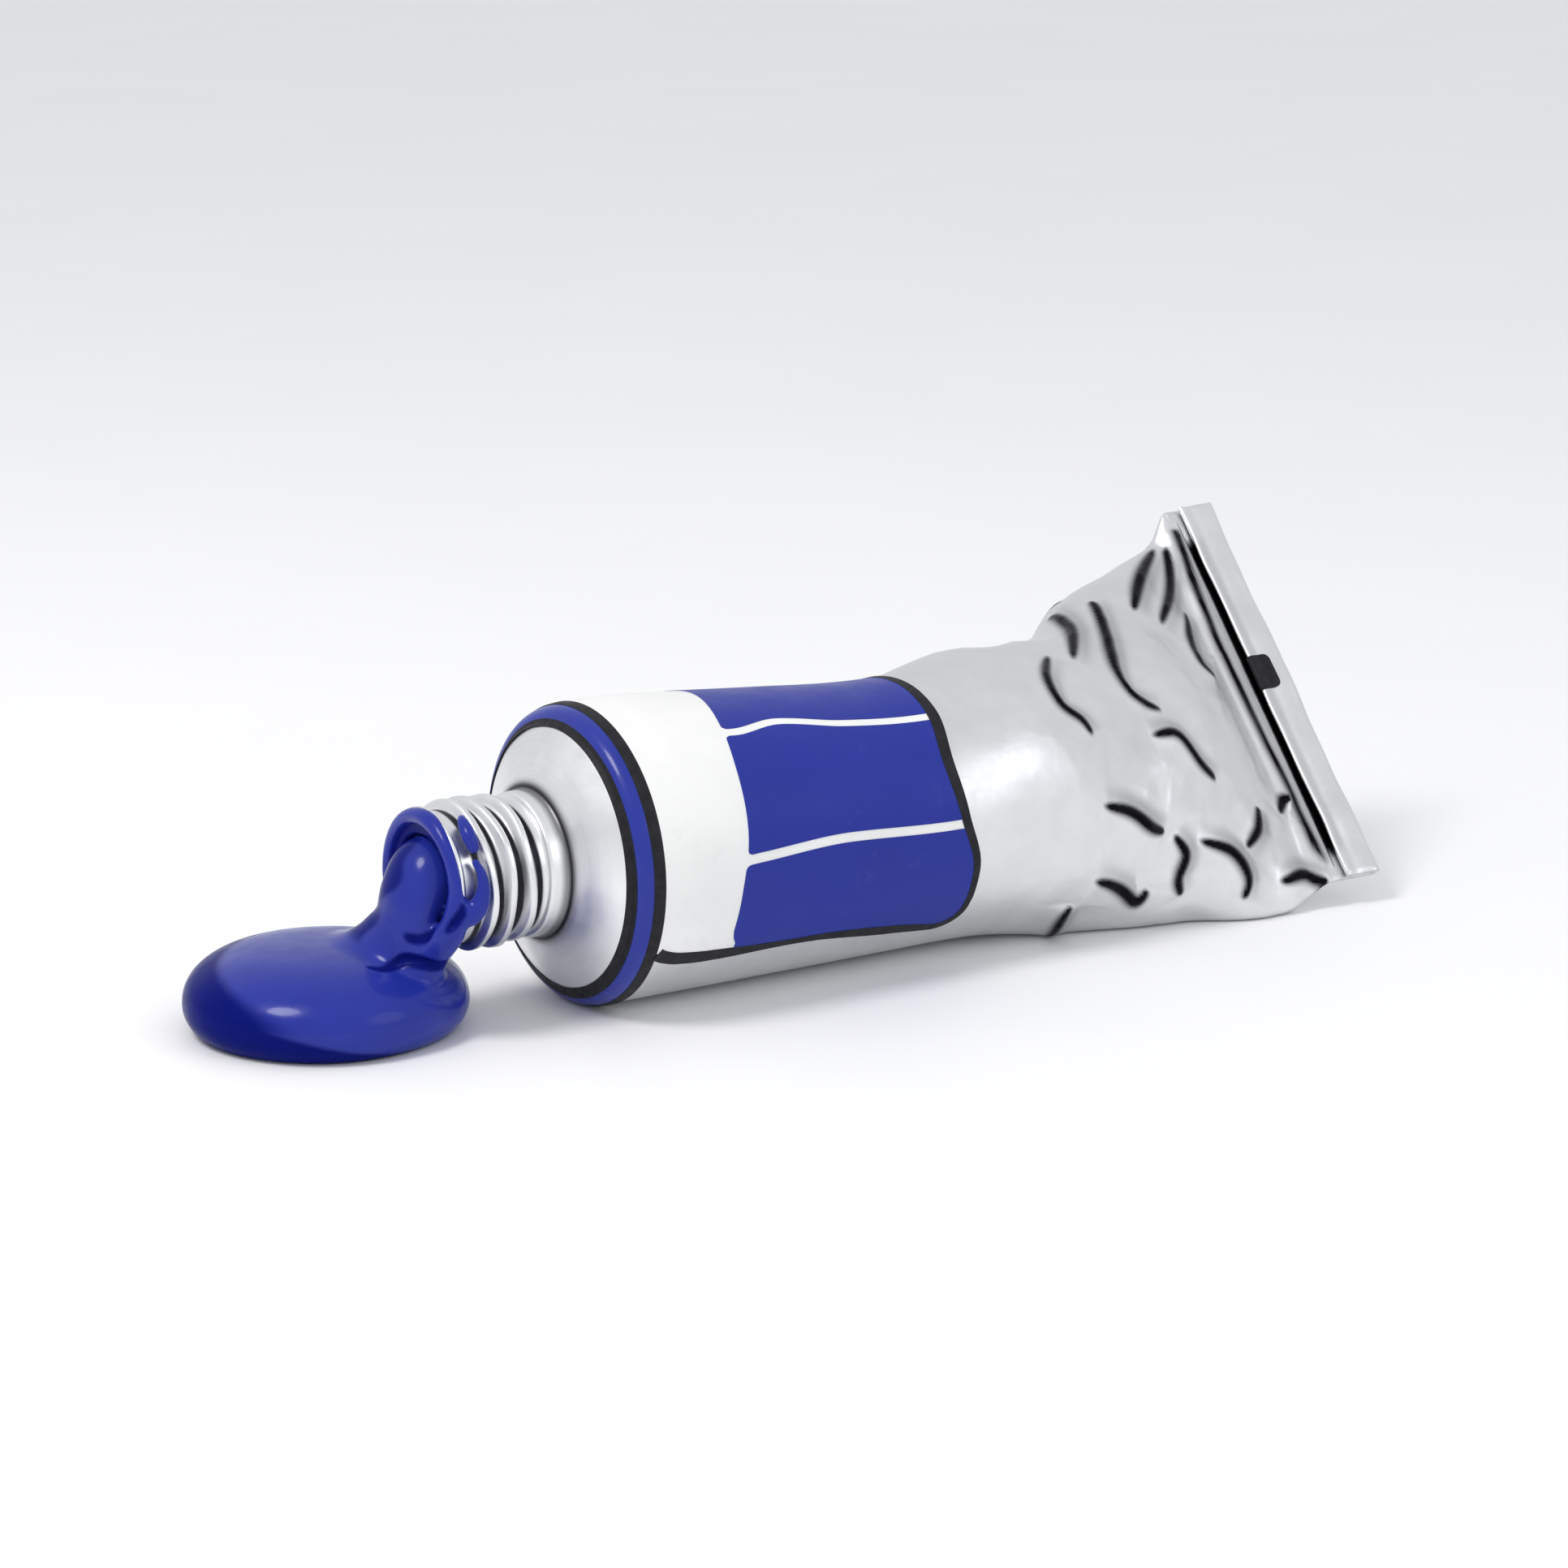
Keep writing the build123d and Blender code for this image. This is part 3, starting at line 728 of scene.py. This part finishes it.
def make_label():
    label = sheet_on_tube("label_film", LABEL_FRONT_X, LABEL_BACK, LABEL_FAR_EDGE, LABEL_LOW_EDGE,
                          0.0, LABEL_WALL, WHITE, (LABEL_CORNER_R, LABEL_CORNER_R, 0), 190, 72)
    place(label, "tube", "label_white", "label_sheet")
    half = LINE_WIDTH / 2
    panels = [
        ("top", FAR_UPPER_LINE, TOP_LINE, half, half),
        ("middle", TOP_LINE, MIDDLE_LINE, half, half),
        ("lower", MIDDLE_LINE, LABEL_LOW_EDGE, half, 0.12),
        ("back_upper", FAR_LOWER_LINE, FAR_UPPER_LINE, half, half),
        ("back_lower", FAR_LAST_LINE, FAR_LOWER_LINE, half, half),
    ]
    for name, start, end, below, above in panels:
        corner = LABEL_CORNER_R if name == "lower" else 0.5
        piece = sheet_on_tube(f"panel_{name}", PANEL_FRONT, [(d, x - 0.1) for d, x in LABEL_BACK],
                              shifted(start, below), shifted(end, -above), LABEL_WALL,
                              LABEL_WALL + INK_WALL, BLUE, (0.5, corner, 1), 90, 50)
        place(piece, "tube", "label_blue", f"label_{name}_panel")
    outline = label_outline()
    share = np.linspace(0, 1, len(outline))
    width = KEYLINE_WIDTH * (0.80 + 0.20 * np.sin(share * 23)) * (1 + 0.35 * np.exp(-share / 0.05))
    top = LABEL_WALL + INK_WALL + KEYLINE_PROUD
    line = ribbon_on_tube("label_keyline", outline, width, 0.0, top, INK)
    place(line, "tube", "mark_ink")


# ---------------------------------------------------------------- head

def lathe(name, rows, material, slot, nodes=(), sharp=60, dark=None, wobble=None):
    """A closed ring turned round the nozzle's axis. rows is (radius, distance in front of the face)."""
    rows = np.array(rows, float)
    turn = np.arange(LATHE_COLUMNS) / LATHE_COLUMNS * 2 * np.pi
    radius = np.repeat(rows[:, :1], LATHE_COLUMNS, 1)
    front = np.repeat(rows[:, 1:], LATHE_COLUMNS, 1)
    if wobble is not None:
        radius, front = wobble(radius, front, turn[None, :])
    points = np.stack([-front, radius * np.cos(turn), np.maximum(AXIS_Z - radius * np.sin(turn), 0.0)], -1)
    extra = {} if dark is None else {"crease": dark(radius, front, turn)}
    faces = grid_faces(len(rows), LATHE_COLUMNS, True, True)
    obj = add_mesh(name, points, [faces], material, sharp=sharp, attributes=extra)
    return place(obj, "tube", slot, *nodes)


def arc_rows(centre, radius, start, end, steps):
    """Points of an arc in (radius, distance in front), by angle in degrees."""
    return [(centre[0] + radius * math.cos(math.radians(a)), centre[1] + radius * math.sin(math.radians(a)))
            for a in np.linspace(start, end, steps)]


def thread_ridge(front, turn):
    """How far the thread stands out of its root, from 0 to 1."""
    along = (front - THREAD_START) / THREAD_PITCH - turn / (2 * np.pi)
    nearest = np.round(along)
    place_on = (nearest + turn / (2 * np.pi)) * THREAD_PITCH
    off = np.abs(along - nearest) * THREAD_PITCH
    ridge = 1 - smoothstep(0.22, 0.78, off)
    starts = smoothstep(-0.3, 1.2, place_on)
    ends = smoothstep(THREAD_HEIGHT - 1.2, THREAD_HEIGHT + 0.2, place_on)
    return ridge * starts * (1 - ends)


def head_wobble(radius, front, turn):
    threaded = (front > COLLAR_END) & (front < LIP_START) & (radius > THREAD_ROOT_R - 0.2)
    ripple = 0.07 * np.sin(turn * 3 + front) + 0.05 * np.sin(turn * 5 - 1.7 * front)
    ridge = thread_ridge(front + 0.6 * ripple, turn)
    rise = (THREAD_R - THREAD_ROOT_R) * ridge * (1 + ripple)
    radius = np.where(threaded, radius + rise, radius)
    face = (front > 0.05) & (front < 3.3) & (radius > 7.6)
    wave = 0.05 * np.sin(turn * 2 + radius * 0.6) * smoothstep(7.6, 9, radius)
    return radius, front + face * wave * (1 - smoothstep(12, 13, radius))


def head_painted_shade(radius, front, turn):
    """Painted shade in the thread's root and in the corner by the collar, near black there."""
    threaded = (front > COLLAR_END) & (front < LIP_START - 0.1) & (radius > THREAD_ROOT_R - 0.3)
    along = (front - THREAD_START) / THREAD_PITCH - turn / (2 * np.pi)
    off = np.abs(along - np.floor(along) - 0.5) * THREAD_PITCH
    wide = 0.31 + 0.09 * np.sin(turn * 2 + front * 0.9) + 0.11 * np.sin(turn - 1.2)
    root = np.where(threaded, 1.3 * np.exp(-(off / wide) ** 4), 0.0)
    corner = np.exp(-((radius - 7.55) / 0.46) ** 2) * (front < 3.9) * (front > 2.6)
    return np.clip(root + corner, 0, 1)


def face_front(radius):
    """How far in front of its own edge the shoulder's face is at a radius."""
    share = np.clip((FACE_R - radius) / (FACE_R - NECK_R), 0, 1)
    return 3.3 * share ** 0.95 + 0.22 * math.sin(math.pi * share)


def uneven_line(radius, front, turn):
    """A line round the shoulder that is thinner on the far side."""
    wide = 0.55 + 0.45 * 0.5 * (1 - np.cos(turn + 0.6))
    middle = radius.mean(axis=0, keepdims=True)
    return middle + (radius - middle) * wide, front


def make_head():
    rows = [(14.55, -6.5), (14.6, -6.3), (14.6, -2.55), (14.2, -2.45), (13.62, -0.3), (13.55, 0.0)]
    rows += [(r, face_front(r)) for r in np.linspace(13.4, 7.8, 18)]
    rows += arc_rows((7.75, 3.75), 0.5, 265, 180, 5)
    rows += [(7.25, 4.4), (7.22, 4.75)]
    rows += arc_rows((6.87, 5.05), 0.33, 0, 90, 5)
    rows += [(6.72, 5.4), (6.62, 5.48)]
    rows += [(THREAD_ROOT_R, f) for f in np.arange(5.6, 14.75, 0.1)]
    rows += [(6.68, 14.86)]
    rows += [(7.0, 14.95), (7.15, 15.05), (7.2, 15.2), (7.18, 15.38), (7.05, 15.56), (6.8, 15.72),
             (6.5, 15.84), (6.1, 15.9), (5.65, 15.84), (5.25, 15.65), (4.98, 15.35), (BORE_R, 15.0)]
    rows += [(BORE_R, 14.0), (BORE_R, 10), (BORE_R, 2.4), (12.1, -1.0), (13.5, -3.4), (13.5, -6.5)]
    lathe("shoulder_and_nozzle", rows, HEAD, "head_metal", ["tube_head"], sharp=55, dark=head_painted_shade,
          wobble=head_wobble)
    band = [(13.55, 0.04)] + [(13.6 + 1.4 * math.sin(a), -2.4 + 2.44 * math.cos(a) ** 0.75)
                              for a in np.linspace(0.12, 1.45, 16)]
    band += [(15.0, -2.2), (15.0, -2.4), (14.35, -2.38), (13.9, -1.2), (13.6, -0.2)]
    lathe("enamel_band", band, ENAMEL, "band_enamel", ["colour_band"])
    seam = [(r, face_front(r) + 0.06) for r in np.linspace(12.9, 13.5, 6)]
    seam += [(13.72, 0.10), (13.9, 0.06), (14.08, -0.02), (14.0, -0.25), (13.6, -0.2), (12.9, 0.1)]
    lathe("band_front_keyline", seam, INK, "mark_ink", wobble=uneven_line)
    back = [(14.72, -1.38), (14.98, -1.42), (15.08, -1.7), (15.14, -2.2), (15.17, -2.62), (15.0, -2.64),
            (14.7, -2.3)]
    lathe("band_back_keyline", back, INK, "mark_ink")


# ---------------------------------------------------------------- crimp

def crimp_point(away, out, across):
    """Points from distance behind the fold line, out of the blade, and up along its width."""
    points = np.asarray(across)[..., None] * ACROSS + np.asarray(out)[..., None] * OUT
    points[..., 0] = FOLD_X + away
    points[..., 2] += FOLD_Z
    return points


def crimp_wave(across, away):
    """The folded end isn't quite flat: a gentle wave along its width, none at the fold."""
    wave = 0.10 * np.sin(across * 0.31 + 0.8) + 0.05 * np.sin(across * 0.83 + 2.0)
    return wave * smoothstep(0.8, 4.0, away)


def crimp_line():
    """The crimp's outline, as away and out: along the blade, round the far fold, and back."""
    line = [(a, -HALF_LAYER) for a in np.linspace(CRIMP_START, BEND_X, 24)]
    line += [(BEND_X + BEND_R * math.cos(a), MIDDLE + BEND_R * math.sin(a))
             for a in np.linspace(-math.pi / 2, math.pi / 2, 14)[1:]]
    line += [(a, FLAP + HALF_LAYER) for a in np.linspace(BEND_X, FLAP_START + HALF_LAYER, 18)[1:]]
    line += [(FLAP_START + HALF_LAYER - HALF_LAYER * math.sin(a), FLAP + HALF_LAYER * math.cos(a))
             for a in np.linspace(0, math.pi, 9)[1:]]
    line += [(a, FLAP - HALF_LAYER) for a in np.linspace(FLAP_START + HALF_LAYER, BEND_X, 18)[1:]]
    line += [(BEND_X + LAYER_GAP / 2, MIDDLE)]
    line += [(a, HALF_LAYER) for a in np.linspace(BEND_X, CRIMP_START, 40)]
    return np.array(line)


def pressed_valley(away):
    """The groove that the crimping tool leaves along the flap."""
    return -0.10 * np.exp(-((away - 2.5) / 0.5) ** 2)


def crimp_painted_shade(line, rows):
    """Painted shade on the crimp: under the flap's edge, on the edge, and softly on the flap beside it."""
    under = (np.abs(line[:, 1] - HALF_LAYER) < 0.01) & (line[:, 0] < 2.4)
    nose = (line[:, 1] > FLAP - HALF_LAYER - 0.01) & (line[:, 1] < FLAP + 0.12)
    nose &= line[:, 0] < FLAP_START + HALF_LAYER + 0.3
    lap = 0.16 * (line[:, 1] > FLAP + HALF_LAYER - 0.01) * (1 - smoothstep(2.0, 2.8, line[:, 0]))
    # painted shade under the flap, a dark line on its edge, and soft painted shade on the flap beside it
    shaded = lap + nose + under * smoothstep(0.45, 0.75, line[:, 0]) + under * 0.36
    reach = 1 - smoothstep(18.5, 20.3, np.abs(rows + 0.5))
    return np.clip(np.minimum(shaded[None, :], 1.0) * np.maximum(reach, 0.1)[:, None], 0, 1)


def make_crimp():
    line = crimp_line()
    ends = CRIMP_HALF_WIDTH - 0.13
    between = np.linspace(-ends + 0.3, ends - 0.3, 181)
    rows = np.concatenate([[-ends, -ends + 0.08], between, [ends - 0.08, ends]])
    away = np.repeat(line[None, :, 0], len(rows), 0)
    out = np.repeat(line[None, :, 1], len(rows), 0)
    across = np.repeat(rows[:, None], len(line), 1)
    edge = 1 - smoothstep(0.0, 0.3, ends - np.abs(rows))[:, None]
    centre = np.where(out > MIDDLE, FLAP, 0.0)
    out = np.where(away < BEND_X, centre + (out - centre) * (1 - 0.35 * edge), out)
    press = 0.0225 * np.sin(across * 1.05 + 0.6 * np.sin(across * 0.4)) + pressed_valley(away)
    out = out + crimp_wave(across, away) + np.where((out > FLAP) & (away < BEND_X), press, 0.0)
    away = away + 0.06 * np.sin(across * 0.22 + 1.0) * smoothstep(3.5, 5.5, away)
    ragged = 0.10 * np.sin(across * 0.5) * np.cos(across * 0.21)
    away = away + np.where((out > MIDDLE) & (away < 2.2), ragged, 0.0)
    points = crimp_point(np.minimum(away, CRIMP_END - 0.01), out, across)
    count = len(line)
    first = np.arange(count)[::-1]
    last = (len(rows) - 1) * count + np.arange(count)
    faces = [grid_faces(len(rows), count, True), [first.tolist()], [last.tolist()]]
    obj = add_mesh("crimp", points, faces, FOIL, sharp=50,
                   attributes={"crease": crimp_painted_shade(line, rows)})
    place(obj, "tail", "bare_aluminium", "crimp_fold")


def make_mark():
    """The black registration mark, printed over the flap's edge."""
    nose_x = FLAP_START + HALF_LAYER
    turns = np.linspace(math.pi * 0.78, 0, 10)
    edge = [(nose_x - HALF_LAYER * math.sin(a), FLAP + HALF_LAYER * math.cos(a)) for a in turns]
    top = [(a, FLAP + HALF_LAYER) for a in np.linspace(nose_x, MARK_REACH, 26)[1:]]
    line = np.array(edge + top)
    outward = np.array([(-math.sin(a), math.cos(a)) for a in turns] + [(0.0, 1.0)] * len(top))
    across = np.linspace(-MARK_WIDTH / 2, MARK_WIDTH / 2, 41)
    gap = np.maximum(MARK_CORNER_R - (MARK_WIDTH / 2 - np.abs(across)), 0.0)
    shorter = MARK_CORNER_R - np.sqrt(np.maximum(MARK_CORNER_R ** 2 - gap ** 2, 0.0))
    along = np.maximum(line[:, 0] - nose_x, 0.0)
    away = line[None, :, 0] - along[None, :] * shorter[:, None] / (MARK_REACH - nose_x)
    out = np.repeat(line[None, :, 1], len(across), 0)
    up = np.repeat(across[:, None] + MARK_CENTRE, len(line), 1)
    wave = crimp_wave(up, away) + pressed_valley(away) * (out > FLAP + 0.3)
    layers = [crimp_point(away + outward[None, :, 0] * lift, out + wave + outward[None, :, 1] * lift, up)
              for lift in (0.09, -0.05)]
    place(closed_sheet("registration_mark", *layers, INK), "tail", "mark_ink", "eye_mark")


# ---------------------------------------------------------------- paint

def join(a, b, soft):
    """Two distance fields as one, with a fillet of about this size."""
    h = np.clip(0.5 + 0.5 * (b - a) / soft, 0, 1)
    return b + (a - b) * h - soft * h * (1 - h)


def carve(a, b, soft):
    """Field a with b taken out of it."""
    return -join(-a, b, soft)


def chain(points, spots):
    """Distance to a chain of spheres given as x, y, z, radius."""
    path = smooth_path(spots, 8)
    best = np.full(points.shape[:-1], 1e9)
    for x, y, z, r in path:
        d = np.sqrt((points[..., 0] - x) ** 2 + (points[..., 1] - y) ** 2 + (points[..., 2] - z) ** 2) - r
        best = np.minimum(best, d)
    return best


def stream_field(points):
    slim = np.array([STREAM_SLIMNESS, 1.0, 1.0])
    return chain(points * slim, [(x * STREAM_SLIMNESS, y, z, r) for x, y, z, r in STREAM])


def on_nozzle(x, radius, degrees, size):
    a = math.radians(degrees)
    return (x, -radius * math.sin(a), AXIS_Z + radius * math.cos(a), size)


def puddle_field(p):
    dx, dy = p[..., 0] - PUDDLE[0], p[..., 1] - PUDDLE[1]
    turn = np.arctan2(dy, dx)
    reach = PUDDLE_R * (0.985 + 0.012 * np.cos(3 * turn + 0.8) - 0.006 * np.cos(5 * turn))
    reach -= 0.5 * np.exp(-((turn + 0.35) / 0.6) ** 2)
    z = p[..., 2] - PUDDLE_WAIST_Z
    tall = np.where(z > 0, PUDDLE_UPPER, PUDDLE_LOWER)
    wide = np.hypot(dx, dy) / reach
    value = (wide ** 2.5 + (np.abs(z) / tall) ** 2.2) ** (1 / 2.35) - 1
    steep = np.sqrt(sum(g ** 2 for g in np.gradient(value, VOXEL)))
    return value / np.maximum(steep, 0.02)


def lip_coat(p, round_axis):
    """The bead of paint round the nozzle's lip."""
    turn = np.arctan2(-p[..., 1], p[..., 2] - AXIS_Z)
    tall = 0.82 + 0.08 * np.sin(3 * turn + 0.5)
    wide = 0.88 + 0.05 * np.sin(5 * turn)
    return np.hypot((round_axis - 6.3) / wide, (-p[..., 0] - 15.5) / tall) - 1


def extract(name, field, low, shade=None):
    """The surface where the field is zero, as a mesh with a darker tone where shade says."""
    grid = openvdb.FloatGrid(background=3.0)
    grid.copyFromArray(np.clip(field, -3, 3).astype(np.float32))
    points, quads = grid.convertToQuads(isovalue=0.0)
    points = np.array(low) + np.asarray(points, float) * VOXEL
    points[:, 2] = np.maximum(points[:, 2], 0.0)
    return add_mesh(name, points, [quads], PAINT, attributes={"shade_on_paint": shade(points)} if shade else None)


def field_grid(low, high):
    axes = [np.arange(a, b, VOXEL) for a, b in zip(low, high)]
    return np.stack(np.meshgrid(*axes, indexing="ij"), -1)


def leftward(x, y, middle):
    """How far points lie to the viewer's left of a place on the table."""
    return LEFT[0] * (x - middle[0]) + LEFT[1] * (y - middle[1])


def paint_shade(points):
    """Painted shade on the paint: in the mouth, in the folds, on the stream's left and round the puddle's
    foot.
    """
    x, y, z = points.T
    from_stream = stream_field(points)
    lit = np.hypot(x - LIT_MIDDLE[0], y - LIT_MIDDLE[1]) / PUDDLE_R
    foot = 4.6 * smoothstep(-0.9, 0.9, leftward(x, y, PUDDLE) / PUDDLE_R)
    rim = np.maximum(smoothstep(0.84, 0.93, lit), smoothstep(-0.3, 0.3, foot - z))
    rim *= smoothstep(0.3, 2.5, from_stream) * (1 - smoothstep(8.6, 9.4, z))
    edge = 0.3 - 0.55 * (z - 16.3) - 0.35 * np.sin(1.5 * (z - 14.6))
    left = 0.85 * smoothstep(-0.35, 0.35, leftward(x, y, STREAM_MIDDLE) - edge) * smoothstep(8.0, 10.0, z)
    left *= (x < -15.6) * (1 - smoothstep(0.2, 0.8, from_stream))
    mouth = smoothstep(0.0, 0.9, BORE_R + 1.25 - np.hypot(y, z - AXIS_Z)) * (x > -16.1) * (x < -10)
    mouth *= smoothstep(0.0, 0.5, from_stream)
    folds = [1 - smoothstep(0.05, 0.40, chain(points, spots)) for spots, _ in PAINT_FOLDS]
    return np.maximum.reduce([rim, left, mouth, *folds])


def make_paint():
    low = (-38.2, -9.6, -1.2)
    p = field_grid(low, (-7.4, 22.0, 23.8))
    ahead = -p[..., 0]
    round_axis = np.hypot(p[..., 1], p[..., 2] - AXIS_Z)
    run = [on_nozzle(-13.7, 7.5, 66, 0.35), on_nozzle(-13.3, 7.6, 76, 0.5), on_nozzle(-13.3, 7.6, 88, 0.7),
           on_nozzle(-13.7, 7.5, 99, 0.95), on_nozzle(-14.4, 7.3, 106, 1.1)]
    hang = [on_nozzle(-15.5, 6.6, 100, 0.9), on_nozzle(-16.0, 7.0, 122, 1.4), (-16.8, -3.2, 8.6, 1.9),
            (-17.6, -1.8, 6.2, 2.6)]
    left = leftward(p[..., 0], p[..., 1], (PUDDLE[0] + 5, PUDDLE[1] - 5))
    joined = [               # each field and the fillet that joins it to those before
        (stream_field(p), 0.5 + 1.9 * smoothstep(-3, 4, left)),
        (lip_coat(p, round_axis), 0.35),
        (chain(p, run), 0.5),
        (chain(p, hang), 0.8),
        (np.maximum(round_axis - BORE_R - 0.15, np.abs(ahead - 13.2) - 0.6), 0.4),
        (np.maximum(np.abs(round_axis - 5.15) - 0.55, np.abs(ahead - 14.6) - 1.1), 0.3),
    ]
    body = puddle_field(p)
    for field, soft in joined:
        body = join(body, field, soft)
    body = np.maximum(body, 0.02 - p[..., 2])
    for spots, soft in PAINT_FOLDS:
        body = carve(body, chain(p, spots), soft)
    obj = extract("paint_body", body, low, paint_shade)
    place(obj, "tube", "paint", "paint_rim", "paint_stream", "paint_puddle", "paint_run")

    low = (-16.0, -9.6, 14.0)
    p = field_grid(low, (-11.6, 0.0, 24.4))
    drop = [on_nozzle(-13.3, 7.55, 29, 0.4), on_nozzle(-13.55, 7.7, 36, 0.6),
            on_nozzle(-13.65, 7.75, 46, 0.75), on_nozzle(-13.55, 7.6, 55, 0.62)]
    place(extract("paint_bead", chain(p, drop), low), "tube", "paint", "paint_drop")


# ---------------------------------------------------------------- stage

def rough_floor():
    n = Nodes("pale_floor")
    tone = n.mottle(60, 3, (0.93, 0.93, 0.93), (0.915, 0.915, 0.916))
    n.fill(n.shader, {"Base Color": tone, "Roughness": n.span(n.noise(20, 3), 0.55, 0.65)})
    return n.material


def add_area(name, position, aim, size, power, colour):
    light = bpy.data.lights.new(name, "AREA")
    light.shape = "DISK"
    light.size, light.energy, light.color = size, power, colour
    obj = bpy.data.objects.new(name, light)
    obj.location = position
    obj.rotation_mode = "QUATERNION"
    obj.rotation_quaternion = (Vector(aim) - Vector(position)).to_track_quat("-Z", "Y")
    show(obj)


def make_stage():
    scene = bpy.context.scene
    azimuth, elevation, distance = math.radians(-34), math.radians(14), 0.52
    right = Vector((math.cos(azimuth), math.sin(azimuth), 0))
    back = Vector((math.sin(azimuth) * math.cos(elevation), -math.cos(azimuth) * math.cos(elevation),
                   math.sin(elevation)))
    up = back.cross(right)
    aim = Vector(to_row((44.0, 0.0, 15.0))) - right * 0.01453 + up * 0.00125
    camera = bpy.data.objects.new("camera", bpy.data.cameras.new("camera"))
    camera.data.lens = 116.0
    camera.data.clip_start, camera.data.clip_end = 0.01, 20
    turned = Matrix((right, up, back)).transposed().to_4x4()
    camera.matrix_world = Matrix.Translation(aim + back * distance) @ turned
    show(camera)
    scene.camera = camera

    reach = 2.2
    floor = bpy.data.meshes.new("floor")
    corners = [(-reach, -reach, 0), (reach, -reach, 0), (reach, reach, 0), (-reach, reach, 0)]
    floor.from_pydata(corners, [], [(0, 1, 2, 3)])
    floor.materials.append(rough_floor())
    obj = bpy.data.objects.new("floor", floor)
    obj.location.z = -0.00005
    show(obj)

    world = bpy.data.worlds.new("studio")
    world.use_nodes = True
    sky = world.node_tree.nodes["Background"]
    sky.inputs["Color"].default_value = (0.965, 0.975, 1.0, 1)
    sky.inputs["Strength"].default_value = 0.80
    scene.world = world
    middle = Vector((0.01, 0, 0.015))
    key = middle - right * 0.28 + back * 0.22 + Vector((0, 0, 0.42))
    add_area("key", key, middle, 0.20, 1.5, (1.0, 0.985, 0.96))
    fill = middle + right * 0.45 + back * 0.30 + Vector((0, 0, 0.20))
    add_area("fill", fill, middle, 0.35, 0.35, (0.95, 0.97, 1.0))
    scene.view_settings.view_transform = "Standard"


make_stage()
make_sleeve()
make_contents()
make_label()
make_head()
make_crimp()
make_mark()
make_paint()
